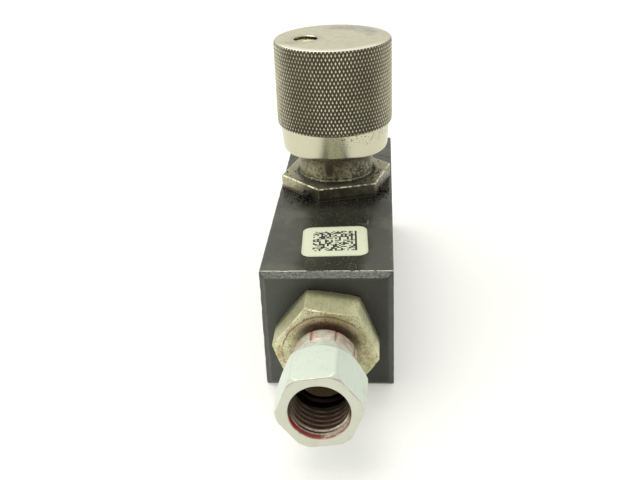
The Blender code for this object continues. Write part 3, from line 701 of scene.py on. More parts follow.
def make_sleeve_material():
    mat = Finish("stained_sleeve_steel")
    x, y, z = mat.axes()
    foot = sleeve_lo.z
    cloud = mat.noise(scale=0.5, detail=5, rough=0.6)
    fine = mat.noise(scale=1.5, detail=5, rough=0.68, offset=(5, 2, 8), distort=0.5)
    hair = mat.noise(scale=1.0, rough=0.6, stretch=(0.12, 0.12, 11.0))
    mat.colour = cloud.blend(off=(0.46, 0.43, 0.28), on=(0.27, 0.245, 0.145))
    mat.paint(fine.ramp(low=0.46, high=0.60), opacity=0.80, rgb=(0.090, 0.080, 0.042))
    angle = mat.math("ARCTAN2", y, x)
    # a black blot at the front, black crust at the front right
    around = (angle - -1.70) * 8.5       # from the blot's middle, in mm round the neck
    above = z - (HEX_TOP + 3.0)
    blot = (around * around + above * above * 0.42).sqrt()
    blot = (blot + fine.wander(2.2)).fall(low=0.65, high=1.25)
    mat.paint(blot, opacity=0.95, rgb=(0.030, 0.020, 0.010))
    right = angle.band(centre=-0.72, half=0.22, soft=0.30)
    crust = right * fine.ramp(low=0.40, high=0.50)
    mat.paint(crust, opacity=0.92, rgb=(0.014, 0.011, 0.007))
    patches = mat.noise(scale=0.4, detail=3, offset=(3, 3, 3)).ramp(low=0.36, high=0.50)
    freckles = mat.specks(scale=2.7, low=0.15, high=0.26) * patches
    mat.paint(freckles, opacity=0.9, rgb=(0.018, 0.015, 0.008))
    # painted shadow of the knob, darker towards it; dirty at the foot, and a pale line at its very
    # bottom as a painted highlight
    # painted shadow under the knob
    mat.paint(z.ramp(low=foot + 1.4, high=foot + 5.2, at_low=0.10, at_high=0.80),
              rgb=(0.050, 0.044, 0.024))
    mat.paint(z.ramp(low=foot + 0.9, high=foot + 0.55) * fine.ramp(low=0.40, high=0.56),
              opacity=0.8, rgb=(0.040, 0.034, 0.018))
    # painted highlight along the lower edge
    rim = z.band(centre=foot + 0.10, half=0.08, soft=0.10)
    mat.paint(rim * fine.ramp(low=0.42, high=0.56, at_low=1.0, at_high=0.25), opacity=0.75,
              rgb=(0.62, 0.60, 0.44))
    dirty = blot.max(crust.max(freckles), clamp=True)
    return mat.finish(
        Roughness=cloud.lerp(off=0.30, on=0.48),
        Metallic=dirty.lerp(off=0.85, on=0.1),
        Normal=mat.bump(hair + cloud * 0.5, distance=0.00003, strength=0.7))


def make_adapter_material():
    mat = Finish("yellow_zinc")
    x, y, z = mat.axes()
    cloud = mat.noise(scale=0.35)
    fine = mat.noise(scale=1.9, detail=5, rough=0.65, offset=(4, 4, 1))
    reach = FRONT - y
    rad = mat.radius(x, z, centre=(0.0, PORT_Z))
    mat.colour = cloud.blend(off=(0.66, 0.66, 0.41), on=(0.55, 0.55, 0.35))
    mat.paint(fine.ramp(low=0.5, high=0.72), opacity=0.30, rgb=(0.68, 0.69, 0.50))
    face = reach.ramp(low=7.05, high=7.35)
    on_hex = reach.ramp(low=8.0, high=7.7)
    # painted light and shade: the face lighter to the left, the flats darker to the left and middle
    # and lighter to the right
    mat.paint(face * x.ramp(low=-4.0, high=2.5, at_low=0.75, at_high=0.10),
              rgb=(0.80, 0.79, 0.53))
    mat.paint((1.0 - face) * x.ramp(low=5.5, high=3.5, at_high=0.40), rgb=(0.34, 0.36, 0.22))
    mat.paint((1.0 - face) * x.ramp(low=4.5, high=7.5, at_high=0.5), rgb=(0.84, 0.83, 0.56))
    # red and olive stains, stronger on the face, and brown specks
    red = mat.noise(scale=0.62, detail=5, rough=0.70, offset=(9, 2, 2), distort=0.8)
    mat.paint(red.ramp(low=0.50, high=0.66) * face.lerp(off=0.30, on=0.55),
              rgb=(0.33, 0.16, 0.085))
    olive = mat.noise(scale=0.30, rough=0.6, offset=(3, 9, 2)).ramp(low=0.46, high=0.62)
    mat.paint(olive * face.lerp(off=0.32, on=0.40), rgb=(0.40, 0.39, 0.17))
    patches = mat.noise(scale=0.35, detail=3, offset=(1, 1, 7)).ramp(low=0.46, high=0.56)
    mat.paint(mat.specks(scale=2.2, low=0.15, high=0.25) * patches, opacity=0.85,
              rgb=(0.085, 0.036, 0.020))
    # rings on the face round the collar, heaviest at the top and the right: a tan stain, a thin
    # brown arc, and next to the collar dark dirt with painted shade
    side = (x * 0.22 + (z - PORT_Z)).ramp(low=1.2, high=5.8, at_low=0.05)
    tan = (rad + cloud.wander(1.5)).fall(low=6.8, high=9.2) * (face * side)
    mat.paint(tan, opacity=0.50, rgb=(0.27, 0.19, 0.095))
    collar_dirt_and_shade = (rad + fine.wander(2.0)).fall(low=6.4, high=7.5) * (face * side)
    arc = (rad + cloud.wander(0.9)).band(centre=7.95, half=0.07, soft=0.14)
    arc = arc * (face * (z - PORT_Z - x * 0.3).ramp(low=2.5, high=5.0))
    mat.paint(arc, opacity=0.70, rgb=(0.20, 0.085, 0.045))
    mat.paint(collar_dirt_and_shade, opacity=0.90, rgb=(0.085, 0.045, 0.024))
    # painted shade in the gap right next to the collar
    mat.paint(rad.fall(low=6.0, high=6.9) * (face * side), opacity=0.75,
              rgb=(0.050, 0.028, 0.017))
    streak = mat.noise(scale=1.3, detail=5, rough=0.7, stretch=(1, 1, 1), offset=(5, 5, 9),
                       distort=1.5)
    mat.paint(streak.ramp(low=0.54, high=0.62) * (face * 0.8), rgb=(0.24, 0.095, 0.05))
    # the flats: brown runs, and greenish-black oil at the root of the hex
    flats = (1.0 - face) * on_hex
    runs = mat.noise(scale=1.2, rough=0.65, stretch=(1.6, 0.35, 1.6), offset=(2, 8, 4))
    mat.paint(runs.ramp(low=0.54, high=0.66) * flats, opacity=0.55, rgb=(0.30, 0.22, 0.12))
    root = (reach + fine.wander(2.4)).fall(low=0.9, high=3.0) * on_hex
    mat.paint(root, opacity=0.78, rgb=(0.075, 0.080, 0.030))
    # the nipple inside the nut is stained brown
    inner = reach.ramp(low=9.6, high=10.6)
    mat.paint(inner, opacity=0.93, rgb=(0.44, 0.34, 0.20))
    edge = mat.worn(radius=0.00028, low=0.02, high=0.14) * fine.ramp(
        low=0.34, high=0.52, at_low=0.4)
    mat.paint(edge * (1.0 - inner), opacity=0.65, rgb=(0.88, 0.88, 0.76))
    # the collar ring counted here is dirt with painted shade
    dirt = (collar_dirt_and_shade * 0.9).max(root * 0.6).max(inner, clamp=True)
    drawn = mat.noise(scale=1.0, rough=0.6, stretch=(4.0, 0.3, 4.0))
    return mat.finish(
        Roughness=dirt.lerp(off=fine.lerp(off=0.40, on=0.55), on=0.6),
        Metallic=dirt.lerp(off=0.62, on=0.2),
        Normal=mat.bump(fine * 0.6 + drawn * 0.7, distance=0.000022, strength=0.7))


def nut_bore_colour(mat, x, z, reach, cloud, fine):
    """Dark thread with red dye pooled low, and a worn lead-in chamfer painted pale as a highlight.
    """
    crest = mat.attribute("lift")
    bore = (crest ** 6.0).blend(off=(0.013, 0.0048, 0.0036), on=(0.24, 0.195, 0.125))
    pool = (z + mat.noise(scale=0.5).wander(4.0)).fall(low=PORT_Z - 4.2, high=PORT_Z - 0.5)
    pool = pool * reach.ramp(low=15.5, high=21.5, at_low=0.25)
    dyed = (crest ** 6.0).blend(off=(0.055, 0.0055, 0.0055), on=(0.40, 0.31, 0.21))
    bore = (pool * 0.85).blend(off=bore, on=dyed)
    # lead-in: a worn crescent low on the right, painted pale as a highlight, dye pooled low on the
    # left
    deep = NUT_LEN - reach
    bottom = (z + fine.wander(1.2)).ramp(low=PORT_Z - 0.2, high=PORT_Z - 2.6)
    right = (x + fine.wander(1.6)).ramp(low=-0.6, high=1.4)
    pale = fine.ramp(low=0.36, high=0.60).blend(off=(0.62, 0.50, 0.38), on=(0.84, 0.78, 0.63))
    red = cloud.ramp(low=0.36, high=0.62).blend(off=(0.30, 0.030, 0.030), on=(0.42, 0.085, 0.075))
    wear = deep.ramp(low=2.05, high=1.75) * (
        deep.ramp(low=0.70, high=0.85) * crest.ramp(low=0.35, high=0.75))
    groove = deep.band(centre=1.12, half=0.10, soft=0.10)
    for mask, tone in (
            (wear * bottom, pale),
            (deep.ramp(low=1.30, high=1.10) * bottom * right, pale),
            (deep.ramp(low=0.82, high=0.66) * bottom * (1.0 - right), red),
            (groove * bottom * (1.0 - right), (0.16, 0.012, 0.012))):
        bore = mask.blend(off=bore, on=tone)
    return bore, deep, bottom


def make_nut_material():
    mat = Finish("pale_zinc")
    x, y, z = mat.axes()
    cloud = mat.noise(scale=0.30)
    fine = mat.noise(scale=2.3, detail=5, rough=0.62, offset=(6, 1, 3))
    reach = FRONT - y
    rad = mat.radius(x, z, centre=(0.0, PORT_Z))
    mat.colour = cloud.blend(off=(0.61, 0.68, 0.595), on=(0.66, 0.725, 0.645))
    mat.paint(fine.ramp(low=0.50, high=0.70), opacity=0.34, rgb=(0.51, 0.55, 0.44))
    # red dye left along the crimp folds, and thin films on the neck
    fold = mat.attribute("fold") * x.ramp(low=-4.2, high=-2.2, at_low=0.2)
    film = reach.ramp(low=14.4, high=13.4) * mat.noise(
        scale=0.9, detail=5, rough=0.65, distort=0.7).ramp(low=0.48, high=0.64)
    dye = (film * 0.40).max(
        fold * fine.ramp(low=0.30, high=0.50, at_low=0.45, at_high=0.95), clamp=True)
    patches = mat.noise(scale=0.5, offset=(2, 2, 9)).ramp(low=0.38, high=0.6)
    mat.paint(reach.ramp(low=11.8, high=11.3) * patches, rgb=(0.60, 0.50, 0.41))
    mat.paint(dye, rgb=(0.40, 0.13, 0.10))
    stains = mat.noise(scale=0.45, detail=5, rough=0.7, offset=(2, 7, 7))
    mat.paint(stains.ramp(low=0.54, high=0.70), opacity=0.42, rgb=(0.50, 0.47, 0.33))
    drips = mat.noise(scale=0.8, rough=0.6, stretch=(1, 0.25, 1), offset=(7, 2, 1))
    mat.paint(drips.ramp(low=0.60, high=0.70) * reach.ramp(low=15.0, high=18.0), opacity=0.30,
              rgb=(0.56, 0.50, 0.38))
    patches = mat.noise(scale=0.3, detail=3).ramp(low=0.44, high=0.54)
    mat.paint(mat.specks(scale=0.9, low=0.06, high=0.11) * patches, opacity=0.7,
              rgb=(0.34, 0.17, 0.10))
    # the front end is a shade warmer, with a blue-grey line where it meets the flats
    mat.paint(reach.ramp(low=NUT_LEN - 0.5, high=NUT_LEN - 0.2), opacity=0.55,
              rgb=(0.66, 0.635, 0.505))
    seam = mat.attribute("seam") * (z - PORT_Z).ramp(low=1.5, high=4.5, at_low=0.12)
    patches = mat.noise(scale=0.6, detail=3, offset=(3, 1, 1))
    mat.paint(seam * patches.ramp(low=0.36, high=0.56, at_low=0.15), opacity=0.55,
              rgb=(0.30, 0.31, 0.40))
    behind_face = reach.ramp(low=NUT_LEN - 0.1, high=NUT_LEN - 0.16)
    inside = rad.fall(low=5.62, high=5.70) * (reach.ramp(low=12.3, high=12.6) * behind_face)
    lead_in = rad.ramp(low=5.45, high=5.30) * reach.ramp(low=NUT_LEN - 0.1, high=NUT_LEN - 0.3)
    inside = inside.max(lead_in, clamp=True)
    bore, deep, bottom = nut_bore_colour(mat, x, z, reach, cloud, fine)
    mat.paint(inside, rgb=bore)
    # dye along the lower lip
    lip = deep.band(centre=0.12, half=0.16, soft=0.10) * (rad.ramp(low=5.52, high=5.44) * bottom)
    patches = mat.noise(scale=0.9, detail=3, offset=(1, 5, 5))
    mat.paint(lip * patches.ramp(low=0.34, high=0.50, at_low=0.45), opacity=0.85,
              rgb=(0.44, 0.10, 0.085))
    edge = mat.worn(radius=0.00030, low=0.02, high=0.15) * (1.0 - inside)
    mat.paint(edge, opacity=0.22, rgb=(0.78, 0.81, 0.76))
    drawn = mat.noise(scale=1.0, detail=3, rough=0.5, stretch=(2.2, 0.25, 2.2))
    relief = mat.noise(scale=0.8, detail=3) * 0.8 + drawn * 0.5
    return mat.finish(
        Roughness=inside.lerp(off=fine.lerp(off=0.34, on=0.44), on=0.40),
        Metallic=(dye * 0.7).lerp(off=0.55, on=0.3) * inside.lerp(off=1.0, on=0.8),
        Normal=mat.bump(relief, distance=0.00002, strength=0.5))


def make_label_material():
    """White label with a square of random black cells and a solid bar down its right side."""
    mat = Finish("printed_label")
    cell, half = 0.40, 4.40              # cell size, half the printed square
    cosine, sine = math.cos(LABEL_TURN), math.sin(LABEL_TURN)
    x, y, _ = mat.axes()
    from_x, from_y = x - LABEL[0], y - LABEL[1]
    across = from_x * cosine + from_y * sine
    along = from_y * cosine - from_x * sine
    cell_seed = mat.add("CombineXYZ", {0: (across / cell).floor(), 1: (along / cell).floor(),
                                       2: 41.0})
    chance = mat.add("TexWhiteNoise", {"Vector": cell_seed}, "Value", noise_dimensions="3D")
    dark = (chance > 0.47).max(across > half - cell)
    area = (abs(across) < half) * (abs(along) < half)
    top = mat.normal_z().ramp(low=0.7, high=0.9)
    faded = mat.noise(scale=2.8, detail=3).ramp(low=0.22, high=0.34, at_low=0.75)
    ink = dark * area * (top * faded)
    mat.colour = mat.noise(scale=0.25).blend(off=(0.66, 0.70, 0.53), on=(0.60, 0.64, 0.48))
    rim = abs(across).max(abs(along)) + mat.noise(scale=0.9, detail=3) * 0.9
    mat.paint(rim.ramp(low=6.3, high=7.0), opacity=0.5, rgb=(0.45, 0.45, 0.33))
    stains = mat.noise(scale=0.6, detail=5, rough=0.7, offset=(1, 2, 3))
    mat.paint(stains.ramp(low=0.60, high=0.72), opacity=0.35, rgb=(0.42, 0.40, 0.28))
    mat.paint(ink, rgb=(0.030, 0.030, 0.028))
    return mat.finish(
        Roughness=mat.noise(scale=1.2, detail=3).lerp(off=0.30, on=0.42),
        Metallic=0.0,
        Normal=mat.bump(mat.noise(scale=0.5, detail=2), distance=0.00006, strength=0.5))


def make_dial_material():
    """Ten sectors, yellow and blue in turn, one centred on DIAL_PHASE."""
    mat = Finish("printed_dial")
    x, y, _ = mat.axes()
    angle = mat.math("ARCTAN2", y, x)
    sector = ((angle + (4 * math.pi - DIAL_PHASE + math.pi / 10)) / (TAU / 10)).floor()
    odd = mat.math("MODULO", sector, 2.0)
    mat.colour = odd.blend(off=(0.80, 0.60, 0.07), on=(0.035, 0.070, 0.20))
    rim = mat.radius(x, y).band(centre=8.0, half=0.12, soft=0.05)
    mat.paint(rim, rgb=(0.02, 0.02, 0.02))
    mat.paint(mat.noise(scale=0.9).ramp(low=0.55, high=0.7), opacity=0.3, rgb=(0.16, 0.13, 0.05))
    return mat.finish(
        Roughness=mat.noise(scale=1.5, detail=3).lerp(off=0.36, on=0.5),
        Metallic=0.0,
        Normal=mat.bump(mat.noise(scale=2.0, detail=2), distance=0.00003, strength=0.4))


def make_steel(name, light, dark, rough=(0.22, 0.36)):
    mat = Finish(name)
    cloud = mat.noise(scale=0.5, rough=0.6)
    drawn = mat.noise(scale=1.0, rough=0.6, stretch=(3.0, 3.0, 0.4))
    mat.colour = cloud.blend(off=light, on=dark)
    stains = mat.noise(scale=1.4, offset=(2, 2, 2)).ramp(low=0.58, high=0.7)
    mat.paint(stains, opacity=0.5, rgb=scaled(dark, 0.35))
    mat.paint(mat.worn(radius=0.0002, low=0.03, high=0.2), opacity=0.5, rgb=scaled(light, 1.25))
    return mat.finish(Roughness=cloud.lerp(*rough), Metallic=1.0,
                      Normal=mat.bump(drawn, distance=0.00002, strength=0.7))


def make_rubber(name, rgb):
    mat = Finish(name)
    cloud = mat.noise(scale=1.4, rough=0.6)
    mat.colour = cloud.blend(off=rgb, on=scaled(rgb, 2.2))
    return mat.finish(Roughness=cloud.lerp(off=0.45, on=0.65), Metallic=0.0,
                      Normal=mat.bump(cloud, distance=0.00003, strength=0.6))


def make_plastic(name, rgb):
    mat = Finish(name)
    cloud = mat.noise(scale=0.8, rough=0.6)
    mat.colour = (cloud * 0.4).blend(off=rgb, on=scaled(rgb, 0.7))
    return mat.finish(Roughness=cloud.lerp(off=0.38, on=0.52), Metallic=0.0,
                      Normal=mat.bump(cloud, distance=0.00002, strength=0.5))


def make_lens():
    """A yellowed, partly clear window with dark marks at the rear and a dark front edge."""
    mat = Finish("clear_lens")
    x, y, _ = mat.axes()
    from_x, from_y = x - WINDOW[0], y - WINDOW[1]
    film = mat.noise(scale=0.9).ramp(low=0.40, high=0.66)
    mat.colour = film.blend(off=(0.93, 0.91, 0.50), on=(0.78, 0.74, 0.38))
    marks = mat.noise(scale=1.5, rough=0.6, stretch=(1.6, 0.8, 1.0), offset=(1, 6, 0))
    marks = marks.ramp(low=0.50, high=0.56) * from_y.ramp(low=-0.4, high=0.9)
    mat.paint(marks, opacity=0.92, rgb=(0.025, 0.020, 0.010))
    near = (from_y + from_x * from_x * -0.10).ramp(low=-1.55, high=-1.95)
    mat.paint(near, opacity=0.9, rgb=(0.020, 0.025, 0.085))
    rim = (from_x * from_x + from_y * from_y).sqrt().ramp(low=2.12, high=2.26)
    mat.paint(rim, opacity=0.8, rgb=(0.030, 0.025, 0.015))
    return mat.finish(
        Roughness=film.lerp(off=0.12, on=0.30),
        Metallic=0.0,
        Normal=mat.bump(mat.noise(scale=0.6, detail=2), distance=0.00002, strength=0.3),
        Alpha=film.lerp(off=0.72, on=0.88).max(marks.max(near), clamp=True))


def make_grime():
    mat = Finish("oily_grime")
    cloud = mat.noise(scale=1.6, detail=5, rough=0.7)
    mat.colour = cloud.blend(off=(0.004, 0.0035, 0.002), on=(0.022, 0.018, 0.010))
    glint = mat.noise(scale=4.5, detail=3, rough=0.6).ramp(low=0.62, high=0.68)
    mat.paint(glint, opacity=0.5, rgb=(0.30, 0.28, 0.18))
    relief = mat.noise(scale=3.0, detail=5, rough=0.7)
    return mat.finish(Roughness=cloud.lerp(off=0.22, on=0.5), Metallic=0.0,
                      Normal=mat.bump(relief, distance=0.00012, strength=1.0))


def make_floor():
    mat = Finish("pale_floor")
    mat.colour = mat.noise(scale=0.004, rough=0.5).blend(off=(0.60, 0.60, 0.575),
                                                         on=(0.63, 0.63, 0.61))
    relief = mat.noise(scale=0.25, detail=3)
    return mat.finish(Roughness=0.6, Metallic=0.0,
                      Normal=mat.bump(relief, distance=0.00005, strength=0.15),
                      Specular_IOR_Level=0.2,
                      Emission_Color=(1.0, 1.0, 0.985, 1.0), Emission_Strength=0.36)


# ---------------------------------------------------------------- pieces
def place(obj, material, body, slot, *nodes):
    obj.data.materials.clear()
    obj.data.materials.append(material)
    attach(obj, body)
    if nodes:
        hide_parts(*nodes)


def bar_section(half, corner):
    """Square outline (x, height from the axis) with rounded corners."""
    points = []
    flat = half - corner
    for cosine, sine in ((1, 0), (0, 1), (-1, 0), (0, -1)):
        side = [(half, f * flat) for f in np.linspace(-1, 1, 27)[1:-1]]
        for f in (0.0, 0.25, 0.5, 0.75, 1.0):
            turn = f * math.pi / 2
            side.append((flat + corner * math.cos(turn), flat + corner * math.sin(turn)))
        points += [(x * cosine - z * sine, x * sine + z * cosine) for x, z in side]
    return np.array(points)


def ding(rings):
    """Nudge points that lie on an edge a little way inwards."""
    for point in rings.reshape(-1, 3):
        x, y, z = point
        edge_x, edge_z = HALF - abs(x), HALF - abs(z - PORT_Z)
        edge_y = min(y - FRONT, REAR - y)
        near = sorted((edge_x, edge_z, edge_y))
        if near[0] + near[1] < 1.5 and near[1] < 1.3:
            depth = wobble(x, y, z, 0.55, 3.1) + 0.5 * wobble(x, y, z, 1.7, 8.2)
            amount = min(max(0.0, depth - 0.18) * 0.16, 0.09)
            if edge_x < 1.2:
                point[0] -= math.copysign(amount, x)
            if edge_z < 1.2 and z > 1:
                point[2] -= math.copysign(amount, z - PORT_Z)


def rear_port_cutter():
    """Taper pipe thread cut as a real helix."""
    angles = ring_angles(96)
    port = Layers(along_rear, angles)
    port.push_all([(0.5, -1.0), (9.75, -1.0), (9.75, -0.01)])
    for depth in np.arange(0.02, 12.4, TAPER_PITCH / 10):
        phase = (depth / TAPER_PITCH - angles / TAU) % 1.0
        tooth = np.clip(1.15 - np.abs(phase - 0.5) * 2.9, 0, 1)
        minor = 8.85 - 0.032 * depth - 0.25
        radius = minor + 0.78 * tooth * smoothstep(12.3, 10.2, depth)
        port.push(np.maximum(radius, 9.75 - 0.75 * depth), depth)
    port.push_all([(8.2, 12.5), (8.2, 15.7), (8.0, 15.9), (0.5, 15.9)])
    return port.build("cutter", closed=False)


def build_body():
    """Square bar: lofted skin with broken edges and small dings, then bored."""
    # (inset, distance from the end) round the end chamfer
    end = fillet([(1.6, 0.0), (1.05, 0.0), (0.0, 1.05), (0.0, 2.6)], 0.16, steps=4, closed=False)
    length = REAR - FRONT
    stations = list(end)
    stations += [(0.0, y) for y in np.linspace(3.0, length - 3.0, 56)]
    stations += [(inset, length - y) for inset, y in reversed(end)]
    rings = []
    for inset, y in stations:
        section = bar_section(HALF - inset, corner=0.30)
        rings.append(np.stack([section[:, 0], np.full(len(section), FRONT + y),
                               section[:, 1] + PORT_Z], -1))
    rings = np.array(rings)
    ding(rings)
    body = skin("body_bar", rings, closed=False, angle=30)

    top_bore = [(0, TOP + 1), (8.8, TOP + 1), (8.8, TOP - 0.2), (8.3, TOP - 0.7), (8.3, 16.7),
                (7.0, 16.7), (7.0, 9.4), (3.35, 9.4), (3.35, 8.6), (4.2, 8.6), (4.2, 3.8),
                (3.4, 3.0), (0, 3.0)]
    front_port = [(0, 1), (8.7, 1), (8.7, 0), (8.62, -0.5), (8.45, -12.4), (8.2, -12.4),
                  (8.2, -15.9), (0, -15.9)]
    cut(body, [cutter(top_bore, 64),
               cutter(front_port, 64, to=along_front),
               rear_port_cutter(),
               drill(2.8, 5.5, 15.9, 32, to=along_y(PORT_Z)),
               drill(1.8, -30.5, -2.0, 32, to=along_y(6.4))])
    place(body, make_body_material(), "housing", "black_finish_steel", "valve_body")


def push_knurl(shell):
    """Crossed helical grooves, as many starts each way, rounded in at the lower end."""
    groove_depth, half_width = 0.29, 0.44          # mm, and in parts of a tooth
    z_hi, z_lo = KNOB_TOP - 0.12, KNURL_BOT + 0.05
    rows = int(round((z_hi - z_lo) / (DIAMOND / KNURL_SUB)))
    turns = shell.angles * KNURL_TEETH / TAU
    for k in range(rows + 1):
        z = z_hi - (z_hi - z_lo) * k / rows
        groove = 0.0
        for lean in (1, -1):
            phase = (turns + lean * k / KNURL_SUB) % 1.0
            groove = np.maximum(groove, 1 - np.minimum(phase, 1 - phase) / half_width)
        limit = min(KNOB_R, KNOB_R - 0.30 + (z_hi - z) * 1.1)
        above = z - KNURL_BOT
        if above < 1:
            bulge = math.sqrt(max(0.0, 1 - (1 - above) ** 2))
            limit = min(limit, SKIRT_R + (KNOB_R - SKIRT_R) * bulge)
        wear = 0.018 * np.maximum(0.0, wobble_round(shell.angles[::KNURL_SUB], 12, z, 0.35, 4.0))
        radius = KNOB_R - groove_depth * groove - np.repeat(wear, KNURL_SUB)
        shell.push(np.minimum(radius, limit), z,
                   lift=np.where(limit < KNOB_R - 0.32, 0.75, 1 - groove))


KNURL_TEETH, KNURL_SUB = 98, 8           # starts each way, points across one
DIAMOND = 1.65                           # height of one diamond


def build_knob():
    """Knurled grip with real crossed grooves over a plain skirt."""
    top = KNOB_TOP
    shell = Layers(along_z, ring_angles(KNURL_TEETH * KNURL_SUB), lift=1.0)
    shell.push_all([(0.02, top), (4, top), (8, top), (11.2, top), (KNOB_R - 0.62, top),
                    (KNOB_R - 0.45, top - 0.015), (KNOB_R - 0.30, top - 0.07)])
    push_knurl(shell)
    # skirt, lower edge, hollow inside and the stem socket
    skirt = [(SKIRT_R, KNURL_BOT + 0.05), (SKIRT_R, KNOB_BOT + 0.95),
             (SKIRT_R - 0.3, KNOB_BOT + 0.3), (SKIRT_R - 0.95, KNOB_BOT), (9.0, KNOB_BOT),
             (8.7, KNOB_BOT + 0.3), (8.7, 56.7), (3.3, 56.7), (3.3, 51.0), (2.0, 51.0),
             (2.0, 55.9), (0.02, 55.9)]
    shell.push_all(fillet(skirt, 0.35, closed=False)[1:])
    knob = shell.build("knob_shell", closed=False, angle=34, tri=True)

    window = [(0, top + 1), (2.72, top + 1), (2.72, top), (2.6, top - 0.12), (2.6, 57.5),
              (2.1, 57.5), (2.1, 55.7), (0, 55.7)]
    lock_hole = [(0, 7.5), (1.3, 7.5), (1.3, 11.55), (1.55, 11.85), (1.55, 13), (0, 13)]
    cutters = [cutter(window, 64, centre=WINDOW),
               drill(0.9, -3.6, 3.6, 24, to=along_x(53.3)),
               cutter(lock_hole, 32, to=along_y(LOCK_Z))]
    for tool in cutters:
        set_attr(tool, "lift", np.ones(len(tool.data.vertices)))
    cut(knob, cutters)

    # inside the knurl and on the top every point counts as plain
    count = len(knob.data.vertices)
    points = np.empty(count * 3)
    knob.data.vertices.foreach_get("co", points)
    points = points.reshape(-1, 3) / MM
    lift = np.empty(count, np.float32)
    knob.data.attributes["lift"].data.foreach_get("value", lift)
    inside = np.hypot(points[:, 0], points[:, 1]) < KNOB_R - 0.6
    lift[inside | (points[:, 2] > top - 0.05)] = 1.0
    set_attr(knob, "lift", lift)
    for poly in knob.data.polygons:      # flat top, no shading drawn in from the window's edge
        if poly.normal.z > 0.9995:
            poly.use_smooth = False
    place(knob, make_knob_material(), "knob_and_stem", "knob_aluminium", "knob")


def build_lens():
    bottom, top = lens_lo.z, lens_hi.z
    profile = [(0.01, bottom), (2.2, bottom), (2.3, bottom + 0.1), (2.3, top - 0.22),
               (2.2, top - 0.12), (1.6, top - 0.05), (0.8, top - 0.01), (0.01, top)]
    lens = turned("window_glass", profile, 48, closed=False, centre=WINDOW)
    place(lens, make_lens(), "knob_and_stem", "lens_clear", "window_lens")


def key_pin_holes(low, high):
    return [drill(1.0, low, high, 24, centre=(0, y)) for y in (-KEY_PIN_Y, KEY_PIN_Y)]


def figure_mesh(text, angle):
    """One raised figure on the dial, its foot towards the rim at angle."""
    curve = bpy.data.curves.new("figure", "FONT")
    curve.body = text
    curve.size = 2.9 * MM
    curve.align_x, curve.align_y = "CENTER", "CENTER"
    curve.extrude = 0.04 * MM
    obj = add_object("figure", curve)
    obj.location = (5.8 * math.cos(angle) * MM, 5.8 * math.sin(angle) * MM,
                    (dial_hi.z - 0.045) * MM)
    obj.rotation_euler = (0, 0, angle - math.pi)
    bpy.context.view_layer.update()
    graph = bpy.context.evaluated_depsgraph_get()
    mesh = bpy.data.meshes.new_from_object(obj.evaluated_get(graph), depsgraph=graph)
    mesh.transform(obj.matrix_world)
    bpy.data.objects.remove(obj, do_unlink=True)
    return mesh


def build_dial():
    inner, outer = 3.6, (dial_hi.x - dial_lo.x) / 2
    bottom, top = dial_lo.z, dial_hi.z
    profile = [(inner, bottom), (outer, bottom), (outer, top - 0.25), (outer - 0.25, top - 0.06),
               (4.3, top - 0.06), (4.2, top), (inner, top)]
    dial = turned("dial_plate", fillet(profile, 0.06), 120)
    cut(dial, key_pin_holes(bottom - 1, top + 1))
    place(dial, make_dial_material(), "dial_carriage", "dial_yellow", "indicator_dial")

    # figures 0 to 9, one to a sector
    ink = make_plastic("dial_ink", (0.015, 0.015, 0.015))
    bm = bmesh.new()
    for k in range(10):
        bm.from_mesh(figure_mesh(str((k + 3) % 10), DIAL_PHASE - k * TAU / 10))
    bmesh.ops.remove_doubles(bm, verts=bm.verts, dist=1e-7)
    figures = add_object("dial_figures", mesh_from_bmesh("dial_figures", bm))
    place(figures, ink, "dial_carriage", "dial_yellow")


def build_bonnet():
    angles = hex_angles(HEX_PHASE)
    flats = hex_radius(angles, BONNET_FLATS, HEX_PHASE)
    bonnet = Layers(along_z, angles, rim=0.0)
    bonnet.push_all([(8.0, TOP + 0.02), (flats - 0.35, TOP + 0.02), (flats - 0.10, TOP + 0.05),
                     (flats, TOP + 0.16)])
    for z in np.linspace(TOP + 0.5, HEX_TOP - 0.5, 7):
        dent = 0.10 * np.maximum(0.0, wobble_round(angles, 11, z, 0.6, 1.5) - 0.35)
        bonnet.push(flats - dent, z)
    # top edge: (depth below the top, cut back from the flats, rim value, which marks the painted
    # highlight)
    for depth, back, rim in ((0.26, 0.0, 0), (0.22, 0.0, 1), (0.17, 0.02, 1), (0.06, 0.11, 1),
                             (0.01, 0.18, 1), (0, 0.24, 1), (0, 0.29, 0)):
        z = HEX_TOP - depth
        cone = 12.52 + (HEX_TOP - z) * 1.7
        bonnet.push(smooth_min(flats - back, cone, 0.1), z, rim=rim)
    # shallow dish in the top
    bonnet.push_all([(10.75, HEX_TOP), (10.55, HEX_TOP - 0.02), (10.3, HEX_TOP - 0.09),
                     (9.6, HEX_TOP - 0.12), (8.8, HEX_TOP - 0.10), (8.5, HEX_TOP - 0.02),
                     (7.0, HEX_TOP)])
    inner = [(5.2, HEX_TOP), (5.2, 45.6), (4.8, 46.0), (3.3, 46.0), (3.3, 24.4), (4.9, 24.4),
             (4.9, 21.5), (3.05, 21.5), (3.05, 20.7), (3.9, 20.7), (3.9, 17.0), (7.6, 17.0),
             (8.0, 17.4), (8.0, 18.6), (6.4, 18.6), (6.4, 20.6), (8.0, 20.6)]
    bonnet.push_all(fillet(inner, 0.12, steps=2, closed=False))
    place(bonnet.build("bonnet_hex", angle=32), make_bonnet_material(),
          "housing", "bonnet_steel", "bonnet")


